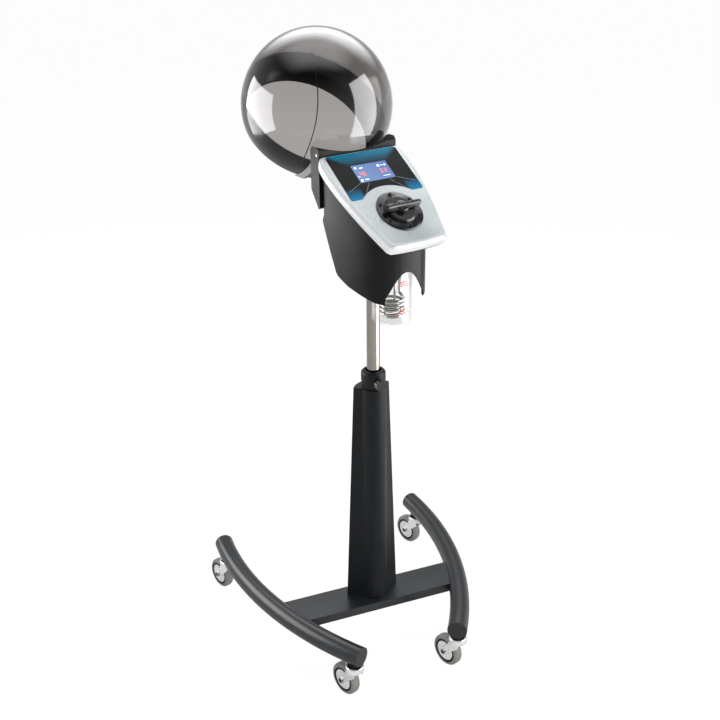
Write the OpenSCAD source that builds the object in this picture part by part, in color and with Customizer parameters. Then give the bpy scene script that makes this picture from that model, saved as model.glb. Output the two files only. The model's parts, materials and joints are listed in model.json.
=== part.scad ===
// Salon hair steamer on a castored stand, at its real size in millimetres.
// +Z is up, the client sits towards +Y and the control panel faces -Y.
// The origin is on the floor, under the mast.

/* [Legs and crossbar] */
// Widest distance between the centre lines of the two leg tubes
leg_spread = 590; // [540:5:640]
// Radius of the bow of each leg tube, at its centre line
leg_radius = 960; // [880:10:1050]
// How far behind the mast the bow is widest
leg_widest_y = 315; // [285:5:345]
// How far the legs reach behind the mast
leg_back = 397; // [360:1:430]
// How far the legs reach before the mast
leg_front = 222; // [200:1:245]
// Outer diameter of a leg tube
leg_tube_d = 50; // [46:1:54]
// Wall of a leg tube
leg_wall = 2.5; // [2:0.5:4]
// Width of the crossbar, front to back
bar_w = 97; // [90:1:110]
// Height of the crossbar's section
bar_t = 23; // [18:1:28]
// Wall of the crossbar
bar_wall = 3; // [2:0.5:4]

/* [Casters] */
// Diameter of a caster wheel
wheel_d = 83; // [76:1:86]
// Width of a wheel's tread
wheel_w = 24; // [20:1:28]
// Diameter of a wheel's hub, under the tread
hub_d = 64; // [58:1:66]
// Distance of the axle from the swivel's axis
caster_trail = 33; // [22:1:36]
// Direction in which the forks trail, from the right
caster_angle = 108; // [0:1:359]
// Diameter of the axle
axle_d = 8; // [6:0.5:10]
// Height of the swivel head over the wheel
swivel_h = 23; // [20:0.5:26]
// Distance of a back caster's stem from the tube's end
inset_back = 38; // [25:1:60]
// Distance of a front caster's stem from the tube's end
inset_front = 19; // [18:1:40]

/* [Column] */
// Height of the column's cover over the crossbar
column_h = 594; // [500:2:640]
// Half width of the cover's two sharp edges at the foot
cover_tip = 70; // [60:1:74]
// Share of that width that is left at the top
cover_taper = 0.67; // [0.64:0.01:0.8]
// Depth of the cover behind the mast's axis
cover_back = 45; // [40:1:50]
// Radius of the cover's nose at the foot
nose_r = 33; // [31:0.5:36]
// Wall of the cover
cover_wall = 3; // [2:0.5:4]
// Outer diameter of the steel tube inside the cover
column_tube_d = 50; // [48:1:52]
// Wall of that tube
column_tube_wall = 2.5; // [2:0.5:3]
// Outer radius of the height collar
collar_r = 30; // [29:0.5:34]
// Height of the height collar
collar_h = 46; // [42:1:56]
// Diameter of the lock knob
knob_d = 27; // [22:1:32]

/* [Mast] */
// Outer diameter of the chromed mast
mast_d = 32; // [28:1:34]
// Length of the mast that shows between the collar and the head's socket
mast_out = 254; // [240:1:300]
// Length of the mast below the collar's top
mast_in = 388; // [360:1:420]
// Wall of the mast
mast_wall = 2; // [1.5:0.5:3]

/* [Head] */
// Turn of the head on the mast, as the stand is shown
head_turn = 12.3; // [-30:0.1:30]
// Slope of the control panel
panel_slope = 34.7; // [30:0.1:38]
// Half width of the panel where it is widest
panel_half_w = 119; // [112:1:124]
// Length of the panel before the filler's centre
panel_front = 97; // [92:1:104]
// Thickness of the panel's frame
panel_t = 20; // [18:1:24]
// Half width of the casing at its back
casing_half_w = 98; // [92:1:102]
// Wall of the casing
casing_wall = 4; // [3:0.5:5]
// Width of the screen
screen_w = 95; // [85:1:100]
// Height of the screen
screen_h = 51; // [46:1:54]
// Diameter of the filler's flange
flange_d = 110; // [100:1:114]
// Width of the gap in the casing's front, at its foot
notch_half_w = 52; // [46:1:54]

/* [Boiler] */
// Outer radius of the boiler's jar
jar_r = 46; // [43:0.5:46]
// Wall of the jar
jar_wall = 3.5; // [3:0.5:4]
// Height of the jar below its lid
jar_h = 145; // [135:1:160]
// Diameter of the heating tube
coil_tube_d = 6.5; // [5:0.5:7]
// Radius of the heating coil
coil_r = 27; // [25:0.5:29]
// Whole turns of the heating coil
coil_turns = 4; // [3:1:5]
// Rise of each turn
coil_pitch = 10; // [9:0.5:11]

/* [Hood] */
// Outer radius of the hood
hood_r = 177; // [172:1:180]
// Wall of the hood
hood_wall = 3; // [2.5:0.5:4]
// Tilt of the hood's axis towards the client
hood_tilt = 38; // [30:1:42]
// Distance of the seam between dome and ring from the hood's centre
seam_at = 7; // [6:1:18]
// Distance of the hood's opening from its centre
opening_at = 80; // [76:1:96]

/* [Hidden] */
$fn = 96;
CASTERS = ["back_left", "back_right", "front_left", "front_right"];

black = "#2b2d2f";
dark = "#3c3e40";
chrome = "#c9cbcc";
steel = "#9a9da0";
silver = "#c3c8c8";
rubber = "#9b9d98";
white = "#ececea";

gap = 0.3;
run = 0.05;
eps = 0.01;

stem_d = 11;
stem_h = 34;
socket_d = 22;
washer_t = 5.7;
race_dip = 3;
kingpin_d = 8;
fork_plate_t = 2.5;
fork_gap = 1.5;
race_d = 46;
cheek_top = 34;
bolt_d = 8;
pan_screw_d = 4;
pan_head_d = 7.5;

leg_z = wheel_d + swivel_h + leg_tube_d / 2;
bar_top = leg_z + bar_t / 2 - 1;
arc_x = leg_spread / 2 - leg_radius;
a_back = asin((leg_back - leg_widest_y) / leg_radius);
a_front = asin((-leg_front - leg_widest_y) / leg_radius);
a_stem_back = a_back - inset_back / leg_radius * 180 / PI;
a_stem_front = a_front + inset_front / leg_radius * 180 / PI;

foot_plate_t = 6;
cover_tip_y = 14;
cover_top_scale_y = 0.92;
nose_top_r = nose_r - 2;
cover_top = bar_top + column_h;
tube_top = cover_top + 12;
lock_z = cover_top + 20;
lock_d = 8;
mast_top = cover_top + collar_h + mast_out;
mast_foot = cover_top + collar_h - mast_in;
slider_h = 40;
bush_h = 44;
spigot_d = 20;
spigot_h = 38;
collar_top = cover_top + collar_h;

// The panel's own frame starts at the filler's centre, on the panel's face.
panel_y = -100.6;
plate_z = mast_top + 58;
panel_z = plate_z + 101.5;
panel_back_y = 55.5;
casing_back_y = 50;
screen_v = 120;
jar_y = -74;
lid_r = jar_r + 1;
lid_t = 12;
seal_t = 3;
jar_top = plate_z - lid_t - seal_t;
jar_foot = jar_top - jar_h;
neck_r = 16;
neck_bore = 14;
duct_r = 11;
duct_bore = 9;
duct_y = jar_y + 30;
plate_t = 3;
socket_r = 22;

pivot_y = 66;
pivot_z = panel_z + 106.5;
hood_y = pivot_y + hood_r * 156 / 177;
hood_z = pivot_z + hood_r * 77 / 177;
pivot_x = 88;
pivot_d = 6;
hood_travel = 15;
ear_t = 8;
saddle_half_w = 106;
saddle_y = 56;
saddle_low = pivot_z - 122;
saddle_high = pivot_z + 22;
bracket_t = 5;

elbow_d = (jar_y - panel_y) / sin(panel_slope);
elbow_z = panel_z - elbow_d * cos(panel_slope);
duct_bend = [duct_y, plate_z + 52];
inlet_x = -50;
switch_x = 47;
rocker_w = 16;
rocker_l = 26;
rocker_z = -0.5;
rocker_throw = 12;
duct_tip = [hood_y - (hood_r + 6.5) * 0.656, hood_z - (hood_r + 6.5) * 0.755];

function unit(v) = v / norm(v);
function bezier(a, b, c, d, t) =
    pow(1 - t, 3) * a + 3 * t * pow(1 - t, 2) * b + 3 * t * t * (1 - t) * c + pow(t, 3) * d;
function bezier_points(a, b, c, d, n) = [for (i = [0:n]) bezier(a, b, c, d, i / n)];
function arc_points(c, r, a0, a1, n) =
    [for (i = [0:n]) let (a = a0 + (a1 - a0) * i / n) c + r * [cos(a), sin(a)]];
function flip(p) = [for (i = [len(p) - 1:-1:0]) [-p[i].x, p[i].y]];
// A corner b between a and c, rounded with radius r
function corner(a, b, c, r, n) =
    let (u = unit(a - b), v = unit(c - b), half = acos(u * v) / 2,
         o = b + unit(u + v) * r / sin(half),
         p = b + u * r / tan(half) - o, q = b + v * r / tan(half) - o,
         a0 = atan2(p.y, p.x), turn = atan2(p.x * q.y - p.y * q.x, p * q))
    [for (i = [0:n]) o + r * [cos(a0 + turn * i / n), sin(a0 + turn * i / n)]];
function rounded(p, r) = [for (i = [0:len(p) - 1])
    each (r[i] == 0 ? [p[i]]
        : corner(p[(i + len(p) - 1) % len(p)], p[i], p[(i + 1) % len(p)], r[i], 6))];

function leg_point(a) = [arc_x + leg_radius * cos(a), leg_widest_y + leg_radius * sin(a)];
function is_left(c) = c == "back_left" || c == "front_left";
function is_back(c) = c == "back_left" || c == "back_right";
function stem_at(c) = let (p = leg_point(is_back(c) ? a_stem_back : a_stem_front))
    [is_left(c) ? -p.x : p.x, p.y];

// The places of parts

module sides() {
    children();
    mirror([1, 0, 0]) children();
}

module at_stems() {
    for (c = CASTERS) translate([stem_at(c).x, stem_at(c).y, 0]) children();
}

module on_head() {
    rotate([0, 0, head_turn]) children();
}

module on_panel() {
    on_head() translate([0, panel_y, panel_z]) rotate([panel_slope, 0, 0]) children();
}

module on_hood() {
    on_head() translate([0, hood_y, hood_z]) rotate([hood_tilt, 0, 0]) children();
}

module across(h) {
    rotate([90, 0, 90]) translate([0, 0, -h / 2]) linear_extrude(h) children();
}

// A round bar in the head's middle plane, between two points given as y and z
module rod(a, b, r) {
    translate([0, a.x, a.y]) rotate([atan2(a.x - b.x, b.y - a.y), 0, 0])
        cylinder(h = norm(b - a), r = r);
}

// A bar from a to c in that plane, with a rounded knuckle at its corner b
module bent_bar(a, b, c, r, knuckle) {
    rod(a, b, r);
    rod(b, c, r);
    translate([0, b.x, b.y]) sphere(r + knuckle);
}

// The stand

module leg_torus(r) {
    translate([arc_x, leg_widest_y, leg_z]) rotate([0, 0, a_front])
        rotate_extrude(angle = a_back - a_front) translate([leg_radius, 0]) circle(r);
}

module leg_tube() {
    difference() {
        translate([arc_x, leg_widest_y, leg_z]) rotate([0, 0, a_front])
            rotate_extrude(angle = a_back - a_front) translate([leg_radius, 0]) difference() {
                circle(leg_tube_d / 2);
                circle(leg_tube_d / 2 - leg_wall);
            }
        for (a = [a_stem_back, a_stem_front])
            translate([leg_point(a).x, leg_point(a).y, leg_z - leg_tube_d / 2 - 1])
                cylinder(h = leg_tube_d / 2, d = socket_d + 2 * run);
    }
}

module left_leg_tube() {
    color(black) mirror([1, 0, 0]) leg_tube();
}

module right_leg_tube() {
    color(black) leg_tube();
}

module leg_end_cap(a, way) {
    translate([arc_x, leg_widest_y, leg_z]) rotate([0, 0, a]) translate([leg_radius, 0, 0])
        rotate([-90 * way, 0, 0]) {
            cylinder(h = 2, d = leg_tube_d);
            translate([0, 0, -6]) cylinder(h = 6, r = leg_tube_d / 2 - leg_wall - 0.15);
        }
}

module leg_end_caps() {
    color(black) sides() {
        leg_end_cap(a_back, 1);
        leg_end_cap(a_front, -1);
    }
}

module crossbar() {
    weld_gap = 0.2;
    inside = leg_radius - leg_tube_d / 2 + 5;
    color(black) difference() {
        intersection() {
            translate([-leg_spread / 2, -bar_w / 2, bar_top - bar_t])
                cube([leg_spread, bar_w, bar_t]);
            sides() translate([arc_x, leg_widest_y, 0]) intersection() {
                cylinder(h = 2 * leg_z, r = inside, $fn = 180);
                translate([-arc_x, -leg_radius, 0]) cube([leg_radius, leg_radius, 2 * leg_z]);
            }
        }
        sides() leg_torus(leg_tube_d / 2 + weld_gap);
        translate([-leg_spread, -bar_w / 2 + bar_wall, bar_top - bar_t + bar_wall])
            cube([2 * leg_spread, bar_w - 2 * bar_wall, bar_t - 2 * bar_wall]);
        at_foot_bolts() translate([0, 0, bar_top - bar_wall - 1])
            cylinder(h = bar_wall + 2, d = bolt_d + 0.4);
    }
}

module caster_sockets() {
    color(black) at_stems() translate([0, 0, leg_z - leg_tube_d / 2]) difference() {
        cylinder(h = stem_h + 4, d = socket_d);
        translate([0, 0, -1]) cylinder(h = stem_h + 1 + gap, d = stem_d + 2 * run);
    }
}

module caster_stems() {
    top = wheel_d + swivel_h;
    color(steel) at_stems() {
        translate([0, 0, top]) cylinder(h = stem_h, d = stem_d);
        translate([0, 0, top - washer_t - race_dip]) cylinder(h = washer_t + race_dip, d = 28);
        translate([0, 0, wheel_d + 0.5]) cylinder(h = swivel_h - washer_t, d = kingpin_d);
        translate([0, 0, wheel_d + 0.4]) cylinder(h = 0.8, d = 11);
    }
}

// The outline of a fork's cheek, seen from the side, with its axle at the origin
module cheek_outline() {
    rise = wheel_d / 2 + 2;
    boss = axle_d / 2 + 5;
    back = -caster_trail + cheek_top / 2 - 2;
    front = -caster_trail - cheek_top / 2 + 2;
    union() {
        circle(boss);
        polygon([[boss * 0.9, boss * 0.3], [back + 4, rise * 0.72], [back, rise + 2],
            [front, rise + 2], [front + 2, rise * 0.72], [-boss * 0.7, -boss * 0.6]]);
    }
}

module caster_fork(c) {
    inside = wheel_w / 2 + fork_gap;
    race_h = swivel_h - washer_t - 4 - gap;
    color(chrome) translate([stem_at(c).x, stem_at(c).y, 0]) rotate([0, 0, caster_angle])
        difference() {
            union() {
                for (s = [-1, 1]) translate([caster_trail, s * (inside + fork_plate_t / 2), wheel_d / 2])
                    rotate([90, 0, 0]) translate([0, 0, -fork_plate_t / 2])
                        linear_extrude(fork_plate_t) cheek_outline();
                translate([0, 0, wheel_d + 1.5]) cylinder(h = 2.5, d = race_d);
                translate([0, 0, wheel_d + 4]) rotate_extrude() polygon(concat(
                    [[0, 0], [race_d / 2, 0]],
                    arc_points([race_d / 2 - 3, race_h - 3], 3, 0, 90, 6),
                    [[race_d / 2 - 5, race_h - race_dip], [0, race_h - race_dip]]));
                translate([caster_trail, inside + fork_plate_t + 2, wheel_d / 2])
                    rotate([90, 0, 0]) cylinder(h = 2 * (inside + fork_plate_t + 2), d = axle_d);
                for (s = [-1, 1]) translate([caster_trail, s * (inside + fork_plate_t), wheel_d / 2])
                    rotate([-90 * s, 0, 0]) cylinder(h = 4, d = 14, $fn = 6);
            }
            translate([0, 0, wheel_d]) cylinder(h = swivel_h, d = kingpin_d + 2 * run);
        }
}

module at_axle(c) {
    translate([stem_at(c).x, stem_at(c).y, wheel_d / 2]) rotate([0, 0, caster_angle])
        translate([caster_trail, 0, 0]) rotate([90, 0, 0]) children();
}

module caster_wheel(c) {
    color(white) at_axle(c) difference() {
        cylinder(h = wheel_w - 2, d = hub_d, center = true);
        cylinder(h = wheel_w, d = axle_d + 2 * run, center = true);
        for (s = [-1, 1]) translate([0, 0, s * (wheel_w / 2 - 1)]) rotate_extrude()
            translate([hub_d / 2 - 3.2, 0]) square([4.4, 6], center = true);
    }
}

module caster_tread(c) {
    crown = 7;
    color(rubber) at_axle(c) rotate_extrude() polygon(concat(
        [[hub_d / 2 + run, -wheel_w / 2]],
        arc_points([wheel_d / 2 - crown, -wheel_w / 2 + crown], crown, -90, 0, 6),
        arc_points([wheel_d / 2 - crown, wheel_w / 2 - crown], crown, 0, 90, 6),
        [[hub_d / 2 + run, wheel_w / 2]]));
}

// The column

module at_foot_bolts() {
    sides() {
        translate([cover_tip - 24, 17, 0]) children();
        translate([18, column_tube_d / 2 + 5, 0]) children();
    }
}

function cover_outline(inset) =
    let (x = cover_tip - inset * 2.2, y = cover_back - inset, t = cover_tip_y,
         r = (x * x + pow(y - t, 2)) / 2 / (y - t), a = asin(x / r))
    let (flank = [for (i = [0:5]) let (s = i / 5)
        [20 + (x - 20) * s, -22 + inset + (t + 22 - inset) * s + 12 * s * (1 - s)]])
    concat(flank, arc_points([0, y - r], r, 90 - a, 90 + a, 16), flip(flank));

module column_foot_plate() {
    color(steel) difference() {
        translate([0, 0, bar_top]) linear_extrude(foot_plate_t)
            polygon(cover_outline(cover_wall + 1));
        at_foot_bolts() translate([0, 0, bar_top - 1])
            cylinder(h = foot_plate_t + 2, d = bolt_d + 0.4);
    }
}

module foot_bolts() {
    color(steel) at_foot_bolts() {
        translate([0, 0, bar_top + foot_plate_t]) cylinder(h = 5.3, d = 15, $fn = 6);
        translate([0, 0, bar_top - bar_wall - 8]) cylinder(h = foot_plate_t + bar_wall + 9, d = bolt_d);
        translate([0, 0, bar_top - bar_wall - 6.5]) cylinder(h = 6.5, d = 15, $fn = 6);
    }
}

module column_tube() {
    foot = bar_top + foot_plate_t;
    color(steel) translate([0, 0, foot]) difference() {
        cylinder(h = tube_top - foot, d = column_tube_d);
        translate([0, 0, -1]) cylinder(h = tube_top, d = column_tube_d - 2 * column_tube_wall);
    }
}

module cover_form(inset, h) {
    cylinder(h = h, r1 = nose_r - inset, r2 = nose_top_r - inset);
    linear_extrude(h, scale = [cover_taper, cover_top_scale_y], slices = 1, segments = 0)
        polygon(cover_outline(inset));
}

module column_cover() {
    color(dark) translate([0, 0, bar_top]) difference() {
        cover_form(0, column_h);
        translate([0, 0, -eps]) cover_form(cover_wall, column_h - cover_wall);
        cylinder(h = column_h + 1, d = column_tube_d + 2 * gap);
    }
}

module guide_bush() {
    r = column_tube_d / 2 - column_tube_wall;
    color(white) translate([0, 0, tube_top - bush_h]) difference() {
        cylinder(h = bush_h, r = r - run);
        translate([0, 0, -1]) cylinder(h = bush_h + 2, d = mast_d + 2 * run);
    }
}

module height_collar() {
    tube_r = column_tube_d / 2 + run;
    mouth_r = mast_d / 2 + 4;
    color(dark) translate([0, 0, cover_top]) difference() {
        rotate_extrude() polygon(concat(
            [[tube_r, 0], [collar_r - 2.5, 0], [collar_r, 22]],
            arc_points([collar_r - 9, collar_h - 9], 9, 0, 90, 8),
            [[mouth_r, collar_h], [mouth_r, collar_h - 10], [mast_d / 2 + 1, collar_h - 10],
             [mast_d / 2 + 1, tube_top - cover_top + gap], [tube_r, tube_top - cover_top + gap]]));
        translate([0, 0, lock_z - cover_top]) rotate([90, 0, 0])
            cylinder(h = collar_r + 5, d = lock_d + 2 * run);
    }
}

module clamp_pad() {
    color(white) translate([0, -mast_d / 2 - 0.4, lock_z]) rotate([90, 0, 0])
        cylinder(h = 5, d = lock_d);
}

module lock_screw() {
    color(steel) translate([0, -mast_d / 2 - 5.7, lock_z]) rotate([90, 0, 0])
        cylinder(h = 22, d = lock_d);
}

module lock_knob() {
    flutes = 8;
    color(black) translate([0, -collar_r - 1, lock_z]) rotate([90, 0, 0]) difference() {
        union() {
            cylinder(h = 3, d = knob_d * 0.62);
            translate([0, 0, 3]) linear_extrude(15) difference() {
                circle(knob_d / 2);
                for (i = [0:flutes - 1]) rotate(i * 360 / flutes)
                    translate([knob_d / 2 + 1.5, 0]) circle(3.6);
            }
        }
        translate([0, 0, -1]) cylinder(h = 14, d = lock_d + 2 * run);
    }
}

// The mast

module mast_tube() {
    color(chrome) translate([0, 0, mast_foot]) difference() {
        cylinder(h = mast_top - mast_foot, d = mast_d);
        translate([0, 0, -1]) cylinder(h = mast_top - mast_foot + 2, d = mast_d - 2 * mast_wall);
    }
}

module mast_slider() {
    color(black) translate([0, 0, mast_foot - 4]) difference() {
        cylinder(h = slider_h, r = column_tube_d / 2 - column_tube_wall - 0.1);
        translate([0, 0, 4]) cylinder(h = slider_h, d = mast_d + 2 * run);
    }
}

module swivel_spigot() {
    color(steel) translate([0, 0, mast_top]) {
        translate([0, 0, -25]) cylinder(h = 25, r = mast_d / 2 - mast_wall - run);
        cylinder(h = 4, d = mast_d);
        cylinder(h = 4 + spigot_h, d = spigot_d);
    }
}

// The head's frame and casing

module swivel_socket() {
    color(steel) on_head() difference() {
        union() {
            translate([0, 0, mast_top + 4 + gap])
                cylinder(h = plate_z - mast_top - 4 - gap, r = socket_r);
            translate([-34, -socket_r, plate_z - 5]) cube([68, 2 * socket_r, 5]);
        }
        translate([0, 0, mast_top]) cylinder(h = 4 + spigot_h + gap, d = spigot_d + 2 * run);
    }
}

// The casing's plan from above: flat back, bowed sides, round front
function casing_side(inset) = bezier_points(
    [casing_half_w - inset, 70], [casing_half_w + 6 - inset, 0],
    [casing_half_w - 8 - inset, -70], [casing_half_w - 28 - inset, -106 + inset * 0.6], 10);
function casing_plan(inset) = concat(casing_side(inset),
    bezier_points([casing_half_w - 36 - inset, -114 + inset], [40, -135 + inset],
        [-40, -135 + inset], [-casing_half_w + 36 + inset, -114 + inset], 10),
    flip(casing_side(inset)));

// The casing's side view, as y and z, with its back wall slanting in to the foot
function casing_profile(inset) =
    let (i = inset, low = plate_z - 108, top = panel_z - 1.5 - panel_y * tan(panel_slope) * 0)
    rounded([[casing_back_y - i, top + 140], [casing_back_y - i, plate_z + 76],
        [57 - i, plate_z + 61], [4 - i * 1.1, plate_z - 54], [-32 - i, plate_z - 72],
        [-140 + i, low], [-140 + i, top + 140]],
        [0, 4, 10, 24, 20, 0, 0]);
function casing_inner_profile() =
    let (i = casing_wall)
    rounded([[casing_back_y - i, panel_z + 140], [casing_back_y - i, plate_z + 76],
        [57 - i, plate_z + 61], [4 - i * 1.1, plate_z - 54], [4 - i * 1.1, plate_z - 150],
        [-160, plate_z - 150], [-160, panel_z + 140]],
        [0, 4, 8, 0, 0, 0, 0]);

module casing_body(profile, inset) {
    intersection() {
        across(300) polygon(profile);
        translate([0, 0, plate_z - 200]) linear_extrude(600) polygon(casing_plan(inset));
    }
}

// The shield-shaped outline of the panel, in the panel's own frame
function panel_side(inset) = bezier_points(
    [panel_half_w - 15 - inset, 200], [panel_half_w + 11 - inset, 140],
    [panel_half_w - 11 - inset, 20], [panel_half_w - 39 - inset, -panel_front + 12 + inset], 14);
function panel_outline(inset) = concat(panel_side(inset),
    bezier_points([panel_half_w - 47 - inset, -panel_front + 4 + inset], [40, -panel_front - 1 + inset],
        [-40, -panel_front - 1 + inset], [-panel_half_w + 47 + inset, -panel_front + 4 + inset], 8),
    flip(panel_side(inset)));

// Everything behind this upright plane is cut off the panel
module behind_panel(y) {
    on_head() translate([-200, y, panel_z - 200]) cube([400, 200, 500]);
}

module casing_shell() {
    notch_foot = plate_z - 130;
    notch_top = plate_z - 31;
    foot_z = plate_z - 86;
    color(dark) difference() {
        union() {
            difference() {
                on_head() casing_body(casing_profile(0), 0);
                on_panel() translate([-200, -300, -panel_t - gap]) cube([400, 600, 400]);
            }
            difference() {
                on_panel() translate([0, 0, -panel_t - gap - 4]) linear_extrude(4)
                    polygon(panel_outline(2));
                behind_panel(casing_back_y);
            }
        }
        difference() {
            on_head() casing_body(casing_inner_profile(), casing_wall);
            on_head() intersection() {
                casing_body(casing_inner_profile(), casing_wall - eps);
                sides() translate([62, -100, plate_z - 10]) cube([60, 82, 10]);
            }
        }
        on_head() rotate([90, 0, 0]) translate([0, 0, 60]) linear_extrude(100) polygon(concat(
            [[notch_half_w + 6, notch_foot], [notch_half_w, foot_z]],
            bezier_points([notch_half_w, foot_z], [notch_half_w - 14, foot_z + 22],
                [22, notch_top], [0, notch_top], 10),
            bezier_points([0, notch_top], [-22, notch_top],
                [-notch_half_w + 14, foot_z + 22], [-notch_half_w, foot_z], 10),
            [[-notch_half_w - 6, notch_foot]]));
        on_head() rod(duct_bend, duct_tip, duct_r + 1);
        on_back_wall() translate([inlet_x, 0, 0]) cube([28, 48, 30], center = true);
        on_back_wall() translate([switch_x, 0, 0]) cube([22, 32, 30], center = true);
        on_head() translate([0, 0, plate_z - 100]) cylinder(h = 100, r = socket_r + 0.8);
        at_saddle_screws() translate([0, 0, -6]) cylinder(h = 7, d = pan_screw_d + 0.4);
    }
}

module on_back_wall() {
    high = [57, plate_z + 61];
    low = [4, plate_z - 54];
    on_head() translate([0, (high.x + low.x) / 2, (high.y + low.y) / 2])
        rotate([-90 - atan2(high.x - low.x, high.y - low.y), 0, 0]) children();
}

module chassis_plate() {
    color(steel) on_head() difference() {
        intersection() {
            translate([0, 0, plate_z]) linear_extrude(plate_t)
                polygon(casing_plan(casing_wall + gap));
            translate([-150, -150, plate_z - 1]) {
                cube([300, 135, 10]);
                translate([118, 0, 0]) cube([64, 150 + 23, 10]);
            }
        }
        translate([0, jar_y, plate_z - 1]) cylinder(h = plate_t + 2, r = neck_r + run);
        translate([0, duct_y, plate_z - 1]) cylinder(h = plate_t + 2, r = duct_r + run);
    }
}

// The control panel

module fascia() {
    color(silver) difference() {
        hull() {
            on_panel_cut(panel_outline(0), -panel_t, panel_t - 6);
            on_panel_cut(panel_outline(4), -1, 1);
        }
        on_panel() translate([0, 0, -panel_t - 1]) linear_extrude(panel_t - 2)
            polygon(panel_outline(3.5));
        on_panel() translate([0, 0, -panel_t]) cylinder(h = 2 * panel_t, r = neck_r + gap);
        on_panel() translate([-screen_w / 2 - gap, screen_v - screen_h / 2 - gap, -panel_t])
            cube([screen_w + 2 * gap, screen_h + 2 * gap, 2 * panel_t]);
        at_flange_screws() translate([0, 0, -panel_t])
            cylinder(h = panel_t + 1, d = pan_screw_d + 2 * run);
    }
    color(silver) on_panel() for (x = [-55, 55], y = [80, 160]) translate([x, y, -15])
        cylinder(h = 12, d = 6);
}

module on_panel_cut(outline, z, h) {
    difference() {
        on_panel() translate([0, 0, z]) linear_extrude(h) polygon(outline);
        behind_panel(panel_back_y);
    }
}

// The printed overlay: a shield with two lobes that clasp the filler
module overlay_panel() {
    clasp = arc_points([0, -24], 101, 47.6, 132.4, 20);
    side = concat(corner([0, 181], [96, 181], [97, 90], 8, 6),
        corner([97, 90], [98, 50.5], [60, 50.5], 5, 6));
    color(black) on_panel() linear_extrude(0.8) difference() {
        polygon(concat(side, clasp, flip(side)));
        translate([-screen_w / 2 - gap, screen_v - screen_h / 2 - gap])
            square([screen_w + 2 * gap, screen_h + 2 * gap]);
    }
}

module display() {
    color("#5f86c4") on_panel() {
        translate([-screen_w / 2, screen_v - screen_h / 2, -4]) cube([screen_w, screen_h, 4.6]);
        translate([-screen_w / 2 - 5, screen_v - screen_h / 2 - 6, -9.4])
            cube([screen_w + 10, screen_h + 12, 6]);
    }
}

module control_board() {
    color("#2f6b45") on_panel() {
        translate([-62, 74, -16.6]) cube([124, 92, 1.6]);
        translate([-14, 104, -15]) cube([28, 28, 3]);
        translate([28, 82, -22]) cube([20, 16, 5.4]);
        for (x = [-44, -28]) translate([x, 88, -27]) cylinder(h = 10.4, d = 12);
    }
}

module transformer() {
    color(steel) on_head() translate([32, -61, plate_z + plate_t]) {
        cube([40, 42, 4]);
        translate([3, 3, 4]) cube([34, 36, 30]);
        translate([8, -2, 9]) cube([24, 46, 20]);
    }
}

// The filler

module at_flange_screws() {
    on_panel() for (i = [0:5]) rotate([0, 0, 30 + 60 * i])
        translate([flange_d / 2 - 8.5, 0, 0]) children();
}

module filler_flange() {
    color(black) difference() {
        on_panel() rotate_extrude() polygon([[neck_r + 0.1, 0], [flange_d / 2, 0],
            [flange_d / 2, 2.5], [flange_d / 2 - 3, 4], [neck_r + 0.1, 4]]);
        at_flange_screws() translate([0, 0, -1]) cylinder(h = 7, d = pan_screw_d + 2 * run);
    }
}

module pan_screw(l) {
    translate([0, 0, -l]) cylinder(h = l + 1, d = pan_screw_d);
    difference() {
        cylinder(h = 2.4, d = pan_head_d);
        translate([0, 0, 1.2]) for (a = [0, 90]) rotate([0, 0, a])
            cube([pan_head_d * 0.6, 1, 2.6], center = true);
    }
}

module at_saddle_screws() {
    on_head() for (x = [-72, 72], z = [pivot_z - 100, pivot_z - 48])
        translate([x, casing_back_y - casing_wall, z]) rotate([90, 0, 0]) children();
}

module head_screws() {
    color(steel) {
        at_flange_screws() translate([0, 0, 4]) pan_screw(14);
        at_saddle_screws() pan_screw(16);
    }
}

module filler_neck() {
    foot = [jar_y, plate_z];
    elbow = [jar_y, elbow_z];
    mouth = [panel_y - 4 * sin(panel_slope), panel_z + 4 * cos(panel_slope)];
    color(white) on_head() difference() {
        bent_bar(foot, elbow, mouth, neck_r, 1.2);
        bent_bar(foot - [0, 1], elbow, mouth + 2 * unit(mouth - elbow), neck_bore, 0.6);
    }
}

module filler_plug() {
    color(black) on_panel() {
        translate([0, 0, 4 + gap]) rotate_extrude() polygon([[0, 0], [37, 0], [37, 3],
            [33, 6], [0, 6]]);
        translate([0, 0, -12]) difference() {
            cylinder(h = 17, r = neck_bore - gap);
            translate([0, 0, 2.5]) rotate_extrude() translate([neck_bore - 2, 0]) square([3, 3]);
        }
        translate([0, 0, 9]) cylinder(h = 6, d = 12);
    }
}

module plug_seal() {
    color(rubber) on_panel() translate([0, 0, -9.3]) difference() {
        cylinder(h = 2.6, r = neck_bore - 0.1);
        translate([0, 0, -1]) cylinder(h = 5, r = neck_bore - 2 + run);
    }
}

module filler_grip() {
    reach = 40;
    color(black) on_panel() translate([0, 0, 10.6 + gap]) difference() {
        union() {
            hull() {
                for (s = [-1, 1]) translate([s * reach, 0, 0]) cylinder(h = 12, r = 8.5, $fn = 32);
                for (s = [-1, 1]) translate([s * (reach - 1), 0, 0]) cylinder(h = 17, r = 5.5, $fn = 32);
            }
            cylinder(h = 10, d = 30);
        }
        translate([0, 0, -1]) cylinder(h = 6.5, d = 12 + 2 * run);
    }
}

// The boiler

module boiler_lid() {
    color(steel) on_head() translate([0, 0, plate_z]) difference() {
        union() {
            translate([0, jar_y, -lid_t]) cylinder(h = lid_t, r = lid_r);
            translate([0, jar_y, -lid_t - 10]) cylinder(h = 11, r = jar_r - jar_wall - 0.2);
        }
        translate([0, jar_y, -lid_t - 11]) cylinder(h = lid_t + 12, r = neck_bore - 1);
        translate([0, duct_y, -lid_t - 11]) cylinder(h = lid_t + 12, r = duct_bore);
    }
}

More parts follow.
